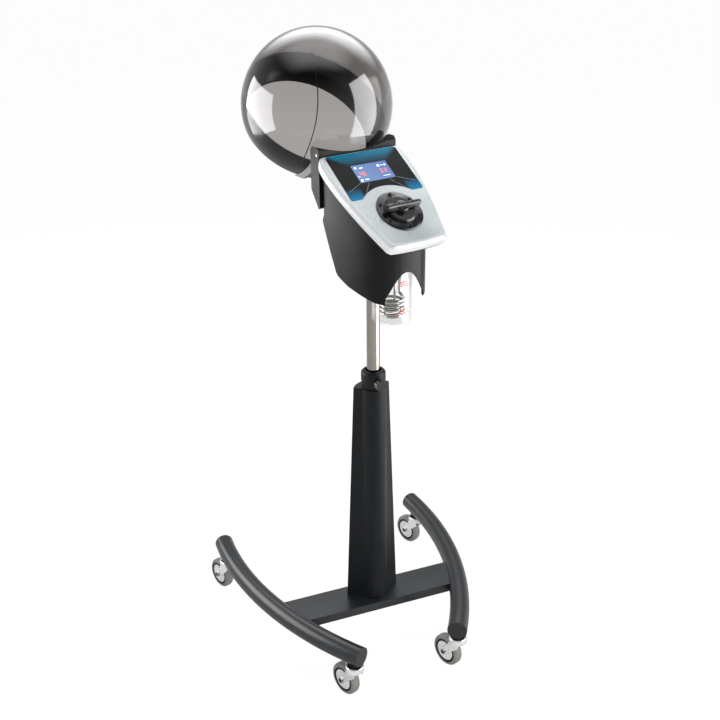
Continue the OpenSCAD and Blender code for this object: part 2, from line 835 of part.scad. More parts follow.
module boiler_jar() {
    corner_r = 7;
    color("#dfe6ea", 0.35) on_head() translate([0, jar_y, jar_foot]) rotate_extrude()
        polygon(concat([[0, 0]], arc_points([jar_r - corner_r, corner_r], corner_r, -90, 0, 6),
            [[jar_r, jar_h - 6], [lid_r, jar_h - 6], [lid_r, jar_h], [jar_r - jar_wall, jar_h]],
            arc_points([jar_r - jar_wall - 5, jar_wall + 5], 5, 0, -90, 6), [[0, jar_wall]]));
}

module jar_seal() {
    color(rubber) on_head() translate([0, jar_y, jar_top]) difference() {
        cylinder(h = seal_t, r = lid_r - 0.5);
        translate([0, 0, -1]) cylinder(h = seal_t + 2, r = jar_r - jar_wall);
    }
}

module jar_clamp_ring() {
    color(black) on_head() translate([0, jar_y, jar_top - 11]) rotate_extrude() polygon([
        [jar_r + 0.2, 0], [lid_r + 2.2, 0], [lid_r + 2.2, 22], [lid_r + 0.1, 22],
        [lid_r + 0.1, 4.9], [jar_r + 0.2, 4.9]]);
}

// The heating coil: down a riser, round the turns, in to a smaller circle and up again
coil_top = jar_foot + 14 + coil_pitch * coil_turns;
coil_bend = 8;
coil_in_r = 16;
riser_top = plate_z - lid_t - 10;
loop_rings = 24;
function round_the_axis(r, a, z) = [r * cos(a), r * sin(a), z];
function coil_path() =
    let (last = -360 * coil_turns, low = coil_top - coil_pitch * coil_turns,
         end = last - 300)
    concat(
        [for (z = [riser_top, riser_top - coil_tube_d, coil_top + coil_bend + 12])
            [coil_r, coil_bend, z, 0]],
        [for (i = [0:5]) let (t = i * 18)
            [coil_r, coil_bend * cos(t), coil_top + coil_bend * (1 - sin(t)), 0]],
        [for (i = [1:loop_rings * coil_turns - 1]) let (s = i / loop_rings, a = -360 * s)
            concat(round_the_axis(coil_r, a, coil_top - coil_pitch * s), a)],
        [for (i = [0:20]) let (a = last - 15 * i, r = coil_r + (coil_in_r - coil_r) * i / 20)
            concat(round_the_axis(r, a, low - 1.5 * i / 20), a)],
        [for (i = [1:5]) let (t = i * 18, o = coil_bend * sin(t))
            [coil_in_r * cos(end) + o * sin(end), coil_in_r * sin(end) - o * cos(end),
             low - 1.5 + coil_bend * (1 - cos(t)), end]],
        [for (z = [coil_top, riser_top - coil_tube_d, riser_top])
            [coil_in_r * cos(end) + coil_bend * sin(end),
             coil_in_r * sin(end) - coil_bend * cos(end), z, end]]);
COIL = coil_path();
COIL_XYZ = [for (p = COIL) [p.x, p.y, p.z]];

// The least distance between stretches of the tube that are half a turn or more apart
coil_gap = min([for (i = [0:len(COIL) - 14]) for (j = [i + 13:len(COIL) - 1])
    norm(COIL_XYZ[i] - COIL_XYZ[j])]) - coil_tube_d;
echo(heating_coil_least_gap = coil_gap);  // heating_coil

module swept_tube(path, side_angles, r, n) {
    last = len(path) - 1;
    points = [for (i = [0:last]) let (
        t = unit(path[min(i + 1, last)] - path[max(i - 1, 0)]),
        out = [cos(side_angles[i]), sin(side_angles[i]), 0],
        b = unit(cross(t, out)), o = cross(b, t))
        for (k = [0:n - 1]) path[i] + r * (cos(360 * k / n) * o + sin(360 * k / n) * b)];
    faces = concat(
        [[for (k = [0:n - 1]) k]],
        [for (i = [0:last - 1], k = [0:n - 1]) let (k2 = (k + 1) % n)
            each [[i * n + k, (i + 1) * n + k, (i + 1) * n + k2], [i * n + k, (i + 1) * n + k2, i * n + k2]]],
        [[for (k = [n - 1:-1:0]) last * n + k]]);
    polyhedron(points, faces);
}

module heating_coil() {
    color(steel) on_head() translate([0, jar_y, 0])
        swept_tube(COIL_XYZ, [for (p = COIL) p[3]], coil_tube_d / 2, 6);
}

module steam_duct() {
    foot = [duct_y, plate_z];
    color(white) on_head() difference() {
        bent_bar(foot, duct_bend, duct_tip, duct_r, 1.2);
        bent_bar(foot - [0, 1], duct_bend, duct_tip + 2 * unit(duct_tip - duct_bend), duct_bore, 0.6);
    }
}

// The power socket and switch on the slanting back wall

module power_inlet() {
    color(black) on_back_wall() translate([inlet_x, 0, 0]) difference() {
        union() {
            translate([-16, -26, 0]) cube([32, 52, 3]);
            translate([-13.5, -23.5, -14]) cube([27, 47, 15]);
        }
        translate([-9, -13, -12]) cube([18, 26, 20]);
    }
    color(steel) on_back_wall() for (x = [-5, 0, 5]) translate([inlet_x + x - 1, -2, -13])
        cube([2, 4, 12]);
}

module switch_housing() {
    color(black) on_back_wall() translate([switch_x, 0, 0]) difference() {
        union() {
            translate([-12.5, -17.5, 0]) cube([25, 35, 2]);
            translate([-10.5, -15.5, -13]) cube([21, 31, 14]);
        }
        translate([-rocker_w / 2 - 0.4, -rocker_l / 2 - 0.6, -11]) cube([rocker_w + 0.8, rocker_l + 1.2, 20]);
        translate([-9.6, 0, rocker_z]) rotate([0, 90, 0]) cylinder(h = 19.2, d = 3 + 2 * run);
    }
}

module power_switch() {
    half = rocker_l / 2;
    color(black) on_back_wall() translate([switch_x, 0, rocker_z]) rotate([-rocker_throw / 2, 0, 0]) {
        across(rocker_w) polygon([[-half, 3.6], [0, 2.6], [half, 3.6], [half - 1, -2],
            [3, -5], [-3, -5], [-half + 1, -2]]);
        translate([-9.3, 0, 0]) rotate([0, 90, 0]) cylinder(h = 18.6, d = 3);
    }
}

// The hood and what carries it

module hood_ball(r, travel) {
    on_head() translate([0, pivot_y, pivot_z]) rotate([travel, 0, 0])
        translate([0, hood_y - pivot_y, hood_z - pivot_z]) sphere(r, $fn = 128);
}

module hood_saddle() {
    lip_r = 305;
    color(dark) difference() {
        union() {
            on_head() across(2 * saddle_half_w) polygon(rounded([
                [saddle_y, saddle_low + 6], [saddle_y + 4, saddle_low], [saddle_y + 33, saddle_low + 42],
                [saddle_y + 33, saddle_high - 12], [saddle_y + 25, saddle_high],
                [saddle_y + 9, saddle_high - 2], [saddle_y, saddle_high - 12]],
                [2, 2, 9, 5, 3, 4, 4]));
            at_saddle_screws() translate([0, 0, -casing_wall - 10]) cylinder(h = 10, d = 14);
        }
        on_head() translate([-saddle_half_w + 5, saddle_y + 4, saddle_low + 10])
            cube([2 * saddle_half_w - 10, 60, 85]);
        on_head() translate([0, 0, pivot_z - 1 + lip_r]) rotate([-90, 0, 0])
            cylinder(h = 200, r = lip_r, $fn = 180);
        for (t = [0, hood_travel / 2, hood_travel]) hood_ball(hood_r + 1.5, t);
        difference() {
            hood_ball(hood_r + bracket_t + 2, 0);
            on_head() translate([-200, 0, pivot_z - 12]) cube([400, 300, 200]);
        }
        on_head() sides() translate([pivot_x - ear_t / 2 - 1, saddle_y + 3, pivot_z - 50])
            cube([ear_t + 2, 60, 58]);
        on_head() translate([-saddle_half_w - 1, pivot_y, pivot_z]) rotate([0, 90, 0])
            cylinder(h = 2 * saddle_half_w + 2, d = pivot_d + 2 * run);
        on_head() rod(duct_bend, duct_tip, duct_r + 1);
        at_saddle_screws() translate([0, 0, -25]) cylinder(h = 30, d = pan_screw_d + 2 * run);
    }
}

module hood_pivot_pins() {
    color(steel) on_head() sides() translate([pivot_x - 10, pivot_y, pivot_z])
        rotate([0, 90, 0]) cylinder(h = saddle_half_w - pivot_x + 9.5, d = pivot_d);
}

module hood_shell(high, low) {
    on_hood() difference() {
        sphere(hood_r, $fn = 128);
        sphere(hood_r - hood_wall, $fn = 128);
        translate([0, 0, high]) translate([-hood_r - 1, -hood_r - 1, 0]) cube(2 * hood_r + 2);
        translate([0, 0, low - 2 * hood_r - 2]) translate([-hood_r - 1, -hood_r - 1, 0])
            cube(2 * hood_r + 2);
    }
}

module hood_dome() {
    color("#9c9894", 0.5) hood_shell(hood_r + 2, -seam_at);
}

module hood_ring() {
    rim_r = sqrt(pow(hood_r, 2) - pow(opening_at, 2));
    color(black) difference() {
        union() {
            hood_shell(-seam_at - 0.2, -opening_at);
            on_hood() translate([0, 0, -opening_at]) rotate_extrude()
                translate([rim_r - 3.2, 0]) circle(2.5);
        }
        on_head() rod(duct_bend, duct_tip + 30 * unit(duct_tip - duct_bend), duct_r + 3);
        lead_hole(lead_r - 4, 20, 8 + 2 * run);
    }
}

// Two arms on a band that hugs the ring's outside, below the pivot
module hood_bracket() {
    color(black) difference() {
        union() {
            intersection() {
                hood_ball(hood_r + bracket_t, 0);
                on_head() translate([-pivot_x - ear_t / 2, pivot_y, pivot_z - 70])
                    cube([2 * pivot_x + ear_t, 130, 42]);
            }
            on_head() sides() across_at(pivot_x, ear_t) polygon([
                [pivot_y - 6, pivot_z + 2], [pivot_y - 2, pivot_z + 6], [pivot_y + 5, pivot_z + 5],
                [pivot_y + 60, pivot_z - 28], [pivot_y + 112, pivot_z - 70],
                [pivot_y + 78, pivot_z - 70], [pivot_y + 52, pivot_z - 54],
                [pivot_y + 28, pivot_z - 33], [pivot_y + 8, pivot_z - 10], [pivot_y - 4, pivot_z - 5]]);
        }
        hood_ball(hood_r + 0.1, 0);
        on_head() translate([-saddle_half_w, pivot_y, pivot_z]) rotate([0, 90, 0])
            cylinder(h = 2 * saddle_half_w, d = pivot_d + 2 * run);
        on_head() rod(duct_bend, duct_tip + 30 * unit(duct_tip - duct_bend), duct_r + 3);
    }
}

module across_at(x, h) {
    translate([x, 0, 0]) across(h) children();
}

module hood_clamp_blocks() {
    color(black) difference() {
        intersection() {
            hood_ball(hood_r - hood_wall - 0.1, 0);
            on_head() sides() translate([36, pivot_y, pivot_z - 58]) cube([34, 90, 30]);
        }
        hood_ball(hood_r - hood_wall - 14, 0);
    }
}

// The temperature sensor's lead runs up the inside of the dome
lead_d = 3;
lead_r = hood_r - hood_wall - lead_d / 2 - 0.1;
function round_hood(r, az, el) =
    [r * cos(el) * sin(az), hood_y - r * cos(el) * cos(az), hood_z + r * sin(el)];
function lead_el(t) = -34 + 84 * t;
function lead_az(t) = -32 - 6 * pow((lead_el(t) - 17) / 33, 2);

module lead_hole(r, h, d) {
    on_head() translate(round_hood(r, lead_az(0), lead_el(0)))
        rotate([0, 90 - lead_el(0), lead_az(0) - 90]) cylinder(h = h, d = d);
}

module sensor_lead() {
    steps = 24;
    color(black) {
        on_head() {
            swept_tube([for (i = [0:steps]) round_hood(lead_r, lead_az(i / steps), lead_el(i / steps))],
                [for (i = [0:steps]) 58], lead_d / 2, 8);
            translate(round_hood(lead_r - 2.5, lead_az(1), lead_el(1))) sphere(4);
        }
        lead_hole(lead_r - 2, hood_r - lead_r + 2, 8);
    }
}

crossbar();
left_leg_tube();
right_leg_tube();
leg_end_caps();
caster_sockets();
caster_stems();
for (c = CASTERS) {
    caster_fork(c);
    caster_wheel(c);
    caster_tread(c);
}
column_foot_plate();
foot_bolts();
column_tube();
column_cover();
guide_bush();
height_collar();
clamp_pad();
lock_knob();
lock_screw();
mast_tube();
mast_slider();
swivel_spigot();
swivel_socket();
chassis_plate();
casing_shell();
fascia();
overlay_panel();
display();
control_board();
transformer();
filler_flange();
head_screws();
filler_neck();
boiler_lid();
boiler_jar();
jar_seal();
jar_clamp_ring();
heating_coil();
steam_duct();
hood_saddle();
hood_pivot_pins();
power_inlet();
switch_housing();
power_switch();
filler_plug();
plug_seal();
filler_grip();
hood_dome();
hood_ring();
hood_bracket();
hood_clamp_blocks();
sensor_lead();
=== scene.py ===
"""The looks of a salon hair steamer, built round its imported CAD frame, in metres."""

import json
import math

import bmesh
import bpy
from mathutils import Matrix, Vector


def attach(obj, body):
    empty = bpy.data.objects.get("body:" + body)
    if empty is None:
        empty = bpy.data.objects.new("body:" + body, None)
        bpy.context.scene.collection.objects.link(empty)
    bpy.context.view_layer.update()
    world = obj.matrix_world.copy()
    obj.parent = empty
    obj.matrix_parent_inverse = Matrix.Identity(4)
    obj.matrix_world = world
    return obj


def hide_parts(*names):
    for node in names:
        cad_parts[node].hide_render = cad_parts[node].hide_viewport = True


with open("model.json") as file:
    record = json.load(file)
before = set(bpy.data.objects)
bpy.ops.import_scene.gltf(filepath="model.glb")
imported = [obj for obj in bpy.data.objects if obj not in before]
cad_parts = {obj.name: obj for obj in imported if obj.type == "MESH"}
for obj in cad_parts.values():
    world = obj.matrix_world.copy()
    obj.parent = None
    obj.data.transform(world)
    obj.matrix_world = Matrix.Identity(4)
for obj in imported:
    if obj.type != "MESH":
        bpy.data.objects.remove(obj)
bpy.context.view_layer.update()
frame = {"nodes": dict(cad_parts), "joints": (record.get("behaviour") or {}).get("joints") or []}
NODES = frame["nodes"]
JOINTS = {j["name"]: j for j in frame["joints"]}
MM = 0.001

CORNERS = ("back_left", "back_right", "front_left", "front_right")

# Places that follow from the frame: the head's own axes, the panel's and the hood's


def turned_frame(x_axis, z_axis, origin):
    """The matrix of a frame with these x and z axes, standing at origin."""
    x, z = Vector(x_axis).normalized(), Vector(z_axis).normalized()
    y = z.cross(x)
    columns = Matrix((x, y, z)).transposed().to_4x4()
    return Matrix.Translation(origin) @ columns


HEAD_X = Vector(JOINTS["hood_tilt"]["axis"])
HEAD = turned_frame(HEAD_X, (0, 0, 1), (0, 0, 0))
PANEL_NORMAL = Vector(JOINTS["filler_lift"]["axis"])
# In millimetres: the grip's joint over the panel's face, the boiler plate below the panel's
# origin, and the hood's centre over its tilt axis
GRIP_HEIGHT, PLATE_BELOW_PANEL, HOOD_ABOVE_PIVOT = 12, 101.5, 77
GRIP_PLACE = Vector(JOINTS["filler_grip_turn"]["pos_m"])
PANEL = turned_frame(HEAD_X, PANEL_NORMAL, GRIP_PLACE - PANEL_NORMAL * (GRIP_HEIGHT * MM))
PLATE_Z = PANEL.translation.z / MM - PLATE_BELOW_PANEL
HOOD_PIVOT = Vector(JOINTS["hood_tilt"]["pos_m"])
HOOD_Z = HOOD_PIVOT.z / MM + HOOD_ABOVE_PIVOT

# Camera, as fitted to the photograph

CAMERA_PLACE = Vector((-0.9718, -2.2499, 1.8734))
CAMERA_PITCH = math.radians(23.55)
CAMERA_AZIMUTH = math.radians(22.62)
CAMERA_ROLL = math.radians(0.50)
CAMERA_LENS_MM = 55.88


def add_camera():
    data = bpy.data.cameras.new("camera")
    data.lens = CAMERA_LENS_MM
    data.sensor_width = 36
    data.sensor_fit = "HORIZONTAL"
    data.clip_end = 50
    camera = bpy.data.objects.new("camera", data)
    bpy.context.scene.collection.objects.link(camera)
    camera.matrix_world = (
        Matrix.Translation(CAMERA_PLACE)
        @ Matrix.Rotation(-CAMERA_AZIMUTH, 4, "Z")
        @ Matrix.Rotation(math.pi / 2 - CAMERA_PITCH, 4, "X")
        @ Matrix.Rotation(-CAMERA_ROLL, 4, "Z")
    )
    bpy.context.scene.camera = camera


add_camera()
bpy.context.scene.view_settings.view_transform = "Standard"

# Materials


def linear(r, g, b):
    """A colour given as 8-bit sRGB, made linear."""
    def one(c):
        c = c / 255
        return c / 12.92 if c <= 0.04045 else ((c + 0.055) / 1.055) ** 2.4
    return one(r), one(g), one(b), 1.0


class Nodes:
    """A small helper round the node tree of a material, a world or a lamp."""

    def __init__(self, owner, output="ShaderNodeOutputMaterial"):
        owner.use_nodes = True
        self.owner = owner
        self.tree = owner.node_tree
        self.tree.nodes.clear()
        self.output = self.add(output)

    def add(self, kind, **inputs):
        node = self.tree.nodes.new(kind)
        for key, value in inputs.items():
            self.put(node, key.replace("_", " "), value)
        return node

    def put(self, node, key, value):
        socket = node.inputs[key]
        if isinstance(value, bpy.types.NodeSocket):
            self.tree.links.new(value, socket)
        else:
            socket.default_value = value

    def coords(self):
        return self.add("ShaderNodeTexCoord").outputs["Object"]

    def noise(self, scale, detail=3, stretch=None, vector=None):
        vector = vector or self.coords()
        if stretch:
            mapping = self.add("ShaderNodeMapping", Vector=vector)
            mapping.inputs["Scale"].default_value = stretch
            vector = mapping.outputs[0]
        node = self.add("ShaderNodeTexNoise", Vector=vector, Scale=scale, Detail=detail)
        return node.outputs["Fac"]

    def ranged(self, value, low, high, from_low=0.3, from_high=0.7):
        node = self.add("ShaderNodeMapRange", Value=value)
        node.inputs["From Min"].default_value = from_low
        node.inputs["From Max"].default_value = from_high
        node.inputs["To Min"].default_value = low
        node.inputs["To Max"].default_value = high
        return node.outputs[0]

    def math(self, operation, *terms, clamp=False):
        node = self.add("ShaderNodeMath")
        node.operation = operation
        node.use_clamp = clamp
        for i, term in enumerate(terms):
            self.put(node, i, term)
        return node.outputs[0]

    def mix(self, factor, a, b):
        node = self.add("ShaderNodeMix")
        node.data_type = "RGBA"
        self.put(node, "Factor", factor)
        self.put(node, 6, a)
        self.put(node, 7, b)
        return node.outputs[2]

    def blended(self, factor, first, second):
        """One shader that goes over into another with this factor."""
        node = self.add("ShaderNodeMixShader")
        self.put(node, 0, factor)
        self.put(node, 1, first.outputs[0])
        self.put(node, 2, second.outputs[0])
        return node.outputs[0]

    def bump(self, height, strength, distance):
        node = self.add("ShaderNodeBump", Height=height, Strength=strength, Distance=distance)
        return node.outputs[0]

    def on_panel(self, where):
        """The coordinates across and up the panel, from its filler's centre, in metres."""
        local = self.add("ShaderNodeMapping", Vector=where)
        inverse = PANEL.inverted()
        local.inputs["Location"].default_value = inverse.translation
        local.inputs["Rotation"].default_value = inverse.to_euler()
        parts = self.add("ShaderNodeSeparateXYZ", Vector=local.outputs[0])
        return parts.outputs[0], parts.outputs[1]

    def finish(self, shader):
        self.tree.links.new(shader, self.output.inputs["Surface"])
        return self.owner


def material_nodes(name):
    return Nodes(bpy.data.materials.new(name))


def toned(colour, gain):
    """A colour made brighter or darker by this gain, no brighter than white."""
    return tuple(min(1, c * gain) for c in colour[:3]) + (1,)


def moulded(name, colour, roughness, spread=0.06, grain=900, grain_depth=0.05, tone=0.12,
            metallic=0.0, coat=0.0, specular=0.5):
    """A painted, plastic or rubber finish: fine grain, patches of gloss and of tone."""
    n = material_nodes(name)
    where = n.coords()
    cloud = n.noise(14, 4, vector=where)
    fine = n.noise(grain, 2, vector=where)
    pale, deep = toned(colour, 1 + tone), toned(colour, 1 - tone)
    shader = n.add("ShaderNodeBsdfPrincipled")
    n.put(shader, "Base Color", n.mix(n.ranged(cloud, 0, 1), deep, pale))
    n.put(shader, "Roughness", n.ranged(cloud, roughness - spread, roughness + spread))
    n.put(shader, "Metallic", metallic)
    n.put(shader, "Coat Weight", coat)
    n.put(shader, "Coat Roughness", 0.12)
    n.put(shader, "Specular IOR Level", specular)
    n.put(shader, "Normal", n.bump(fine, grain_depth, 0.0004))
    return n.finish(shader.outputs[0])


def turned_metal(name, colour, roughness, streak=(1, 1, 1), streak_scale=400):
    """Bare or plated metal with fine streaks along its length and faint smudges."""
    n = material_nodes(name)
    where = n.coords()
    streaks = n.noise(streak_scale, 3, stretch=streak, vector=where)
    smudge = n.noise(22, 5, vector=where)
    shader = n.add("ShaderNodeBsdfPrincipled", Metallic=1.0)
    pale, deep = toned(colour, 1.05), toned(colour, 0.9)
    n.put(shader, "Base Color", n.mix(n.ranged(streaks, 0, 1), deep, pale))
    n.put(shader, "Roughness", n.ranged(smudge, roughness - 0.05, roughness + 0.05))
    n.put(shader, "Normal", n.bump(streaks, 0.03, 0.0003))
    return n.finish(shader.outputs[0])


def see_through(name, tint, edge, gloss_ior, mirror=1.0):
    """A thin clear wall: tinted light goes through, more is mirrored the flatter it is seen."""
    n = material_nodes(name)
    where = n.coords()
    wave = n.noise(9, 2, vector=where)
    normal = n.bump(wave, 0.06, 0.002)
    clear = n.add("ShaderNodeBsdfTransparent", Color=tint)
    skin = n.add("ShaderNodeBsdfPrincipled", Base_Color=edge, Metallic=1.0, Normal=normal)
    n.put(skin, "Roughness", n.ranged(n.noise(30, 4, vector=where), 0.012, 0.032))
    # Seen from inside the wall, the index is turned over, so that the inner face mirrors no more
    inside = n.add("ShaderNodeNewGeometry").outputs["Backfacing"]
    index = n.ranged(inside, gloss_ior, 1 / gloss_ior, 0, 1)
    fresnel = n.add("ShaderNodeFresnel", IOR=index, Normal=normal)
    share = n.math("MULTIPLY", fresnel.outputs[0], mirror, clamp=True)
    return n.finish(n.blended(share, clear, skin))


def silver_frame(name):
    """Silver paint with a painted highlight: near white where the frame rolls away from the
    panel's face.
    """
    n = material_nodes(name)
    where = n.coords()
    cloud = n.noise(14, 4, vector=where)
    flake = n.noise(2600, 2, vector=where)
    faces = n.add("ShaderNodeVectorMath")
    faces.operation = "DOT_PRODUCT"
    n.put(faces, 0, n.add("ShaderNodeTexCoord").outputs["Normal"])
    n.put(faces, 1, tuple(PANEL_NORMAL))
    # Painted highlight: the rolled rim pales to near white and loses its metal, in place of the
    # lamps' gleam on it
    rim_painted_highlight = n.ranged(faces.outputs["Value"], 1, 0, 0.72, 0.985)
    flat = n.mix(n.ranged(cloud, 0, 1), linear(190, 197, 199), linear(201, 208, 210))
    shader = n.add("ShaderNodeBsdfPrincipled")
    n.put(shader, "Base Color", n.mix(rim_painted_highlight, flat, linear(246, 247, 248)))
    n.put(shader, "Metallic", n.ranged(rim_painted_highlight, 0.3, 0.0, 0, 1))
    n.put(shader, "Roughness", n.ranged(cloud, 0.27, 0.33))
    n.put(shader, "Coat Weight", 0.3)
    n.put(shader, "Coat Roughness", 0.15)
    n.put(shader, "Normal", n.bump(flake, 0.05, 0.0004))
    return n.finish(shader.outputs[0])


def overlay_print(name):
    """Gloss black print with blue glows at its top and in its two lobes."""
    n = material_nodes(name)
    where = n.coords()
    across, up = n.on_panel(where)
    side = n.math("ABSOLUTE", across)

    # The top glow narrows downwards: a trapezium with soft sides
    half_width = n.math("MULTIPLY_ADD", up, 1.15, -0.120)
    inside = n.ranged(n.math("SUBTRACT", half_width, side), 0, 1, -0.012, 0.006)
    rise = n.ranged(up, 0, 1, 0.142, 0.183)
    top = n.math("MULTIPLY", inside, n.math("POWER", rise, 1.2))
    # The lobes glow at their feet
    foot = n.ranged(up, 1, 0, 0.050, 0.084)
    outer = n.ranged(side, 0, 1, 0.056, 0.066)
    lobe = n.math("MULTIPLY", foot, outer)

    cloud = n.ranged(n.noise(30, 3, vector=where), 0, 1)
    base = n.mix(cloud, linear(8, 10, 14), linear(14, 16, 20))
    with_top = n.mix(top, base, linear(0, 148, 188))
    colour = n.mix(lobe, with_top, linear(0, 138, 188))
    shader = n.add("ShaderNodeBsdfPrincipled", Specular_IOR_Level=0.14)
    n.put(shader, "Base Color", colour)
    n.put(shader, "Roughness", n.ranged(n.noise(60, 4, vector=where), 0.16, 0.24))
    return n.finish(shader.outputs[0])


def lit_screen(name):
    """A lit display: blue that pales to its left edge, under a glossy pane."""
    n = material_nodes(name)
    where = n.coords()
    across, up = n.on_panel(where)
    across = n.ranged(across, 0, 1, -0.05, 0.05)
    up = n.ranged(up, 0, 1, 0.094, 0.146)
    shade = n.math("MULTIPLY", across, 0.6)
    shade = n.math("ADD", shade, n.math("MULTIPLY", up, 0.4))
    colour = n.mix(shade, linear(122, 160, 214), linear(78, 112, 190))
    speckle = n.noise(2500, 1, vector=where)
    colour = n.mix(n.ranged(speckle, 0, 0.12), colour, linear(150, 180, 225))
    shader = n.add("ShaderNodeBsdfPrincipled", Roughness=0.1)
    n.put(shader, "Base Color", linear(20, 24, 34))
    n.put(shader, "Emission Color", colour)
    n.put(shader, "Emission Strength", 0.85)
    return n.finish(shader.outputs[0])


def glowing(name, colour, strength):
    """A lit mark on the display, finely speckled."""
    n = material_nodes(name)
    shader = n.add("ShaderNodeBsdfPrincipled", Roughness=0.3)
    spots = n.noise(1500, 1)
    tinted = n.mix(n.ranged(spots, 0, 1), colour, toned(colour, 1.1))
    n.put(shader, "Base Color", tinted)
    n.put(shader, "Emission Color", tinted)
    n.put(shader, "Emission Strength", strength)
    return n.finish(shader.outputs[0])


BLACK_PAINT = moulded("black_powder_coat", linear(38, 41, 44), 0.33, spread=0.02, grain=1100,
                      grain_depth=0.1, tone=0.05)
BLACK_PLASTIC = moulded("black_moulded", linear(27, 28, 30), 0.42, grain=1500, grain_depth=0.08)
COLUMN_PLASTIC = moulded("column_textured", linear(22, 24, 26), 0.44, grain=1400,
                         grain_depth=0.16, specular=0.18)
CASING_PLASTIC = moulded("casing_textured", linear(24, 25, 27), 0.36, grain=1400,
                         grain_depth=0.1, specular=0.12)
# Painted shade: the saddle's plastic is darker than the casing's, for the shade in the gap between
# them
SADDLE_SHADE_PLASTIC = moulded("saddle_painted_shade", linear(13, 14, 16), 0.5, grain=1400,
                         grain_depth=0.1, specular=0.2)
BLACK_GLOSS = moulded("black_gloss", linear(26, 27, 29), 0.18, spread=0.04, grain=500,
                      grain_depth=0.01)
RING_GLOSS = moulded("ring_gloss", linear(5, 10, 16), 0.17, spread=0.04, grain=300,
                     grain_depth=0.01, coat=0.1, specular=0.3)
SILVER_PAINT = silver_frame("silver_metallic")
# Painted shade: plain black for the castors' hub grooves and the floors of their races
SHADE_BLACK = moulded("painted_shade_black", linear(9, 9, 10), 0.6, grain=800, grain_depth=0.1,
                     specular=0.3)
GREY_RUBBER = moulded("grey_rubber", linear(138, 140, 134), 0.62, grain=700, grain_depth=0.15,
                      tone=0.07)
DARK_RUBBER = moulded("dark_rubber", linear(30, 30, 31), 0.6, grain=800, grain_depth=0.15)
HUB_NYLON = moulded("hub_nylon", linear(255, 254, 251), 0.4, tone=0.04)
WHITE_NYLON = moulded("white_nylon", linear(225, 225, 220), 0.4, tone=0.04)
BOARD_GREEN = moulded("circuit_board", linear(38, 104, 62), 0.35, grain=600, grain_depth=0.1)
RED_PRINT = moulded("red_print", linear(214, 52, 40), 0.35, grain_depth=0.02, tone=0.05)
PALE_LINE = moulded("pale_line", linear(178, 186, 190), 0.3, grain_depth=0.02)
BLACK_SCREW = moulded("black_screw", linear(28, 29, 31), 0.32, metallic=0.6)
BRIGHT_ZINC = moulded("bright_zinc", linear(246, 245, 243), 0.2, spread=0.05, grain=500,
                      grain_depth=0.03, tone=0.03, metallic=0.6)
# Painted dark reflection: the axle nuts get a dark metal colour in place of the dark surroundings
# they mirror
NUT_PAINTED_DARK = turned_metal("nut_painted_dark_reflection", linear(70, 72, 80), 0.35, streak_scale=300)
MAST_CHROME = turned_metal("mast_chrome", linear(152, 147, 140), 0.12, streak=(1, 1, 0.01),
                           streak_scale=700)
STEEL = turned_metal("bare_steel", linear(170, 170, 172), 0.3, streak=(1, 1, 0.1),
                     streak_scale=300)
COIL_STEEL = turned_metal("coil_steel", linear(178, 174, 168), 0.22, streak_scale=200)
SMOKED = see_through("smoked_dome", (0.60, 0.585, 0.57, 1), linear(250, 251, 255), 1.5,
                     mirror=1.2)
GLASS = see_through("jar_glass", (0.965, 0.97, 0.97, 1), linear(250, 251, 252), 1.45)
OVERLAY = overlay_print("overlay_print")
SCREEN = lit_screen("lit_screen")
ICON_WHITE = glowing("icon_white", linear(235, 242, 250), 0.9)
ICON_ORANGE = glowing("icon_orange", linear(238, 112, 84), 0.8)

FINISH = {
    BLACK_PAINT: ("crossbar", "left_leg_tube", "right_leg_tube", "caster_sockets"),
    BLACK_PLASTIC: ("caster_stems", "leg_end_caps", "lock_knob", "mast_slider",
                    "jar_clamp_ring", "power_inlet", "switch_housing", "hood_bracket",
                    "hood_clamp_blocks"),
    COLUMN_PLASTIC: ("column_cover", "height_collar"),
    CASING_PLASTIC: ("casing_shell",),
    SADDLE_SHADE_PLASTIC: ("hood_saddle",),
    BLACK_GLOSS: ("filler_flange", "filler_plug", "filler_grip", "power_switch"),
    RING_GLOSS: ("hood_ring",),
    SILVER_PAINT: ("fascia",),
    DARK_RUBBER: ("jar_seal", "plug_seal", "sensor_lead"),
    WHITE_NYLON: ("guide_bush", "clamp_pad", "filler_neck", "steam_duct"),
    BOARD_GREEN: ("control_board",),
    BLACK_SCREW: ("head_screws",),
    MAST_CHROME: ("mast_tube",),
    STEEL: ("column_foot_plate", "foot_bolts", "column_tube", "lock_screw", "swivel_spigot",
            "swivel_socket", "chassis_plate", "transformer", "boiler_lid", "hood_pivot_pins"),
    COIL_STEEL: ("heating_coil",),
    SMOKED: ("hood_dome",),
    GLASS: ("boiler_jar",),
    OVERLAY: ("overlay_panel",),
    SCREEN: ("display",),
    BRIGHT_ZINC: tuple(c + "_fork" for c in CORNERS),
    HUB_NYLON: tuple(c + "_wheel" for c in CORNERS),
    GREY_RUBBER: tuple(c + "_tread" for c in CORNERS),
}

for material, names in FINISH.items():
    for node_name in names:
        mesh = NODES[node_name].data
        mesh.materials.clear()
        mesh.materials.append(material)

# Mesh helpers

SHARP = math.radians(28)
WELD = 1e-6


def new_piece(name, verts, faces, material, body, sharp_angle=35, smooth=True):
    """A mesh in the row frame that rides on a body."""
    mesh = bpy.data.meshes.new(name)
    mesh.from_pydata([tuple(v) for v in verts], [], faces)
    bm = bmesh.new()
    bm.from_mesh(mesh)
    bmesh.ops.remove_doubles(bm, verts=bm.verts, dist=WELD)
    bmesh.ops.recalc_face_normals(bm, faces=bm.faces)
    bm.to_mesh(mesh)
    bm.free()
    mesh.materials.append(material)
    if smooth:
        mesh.shade_smooth()
        mesh.set_sharp_from_angle(angle=math.radians(sharp_angle))
    piece = bpy.data.objects.new(name, mesh)
    bpy.context.scene.collection.objects.link(piece)
    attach(piece, body)
    return piece


def in_mm(matrix, points):
    """Points in millimetres of a local frame, in the row frame in metres."""
    return [matrix @ (Vector(p) * MM) for p in points]


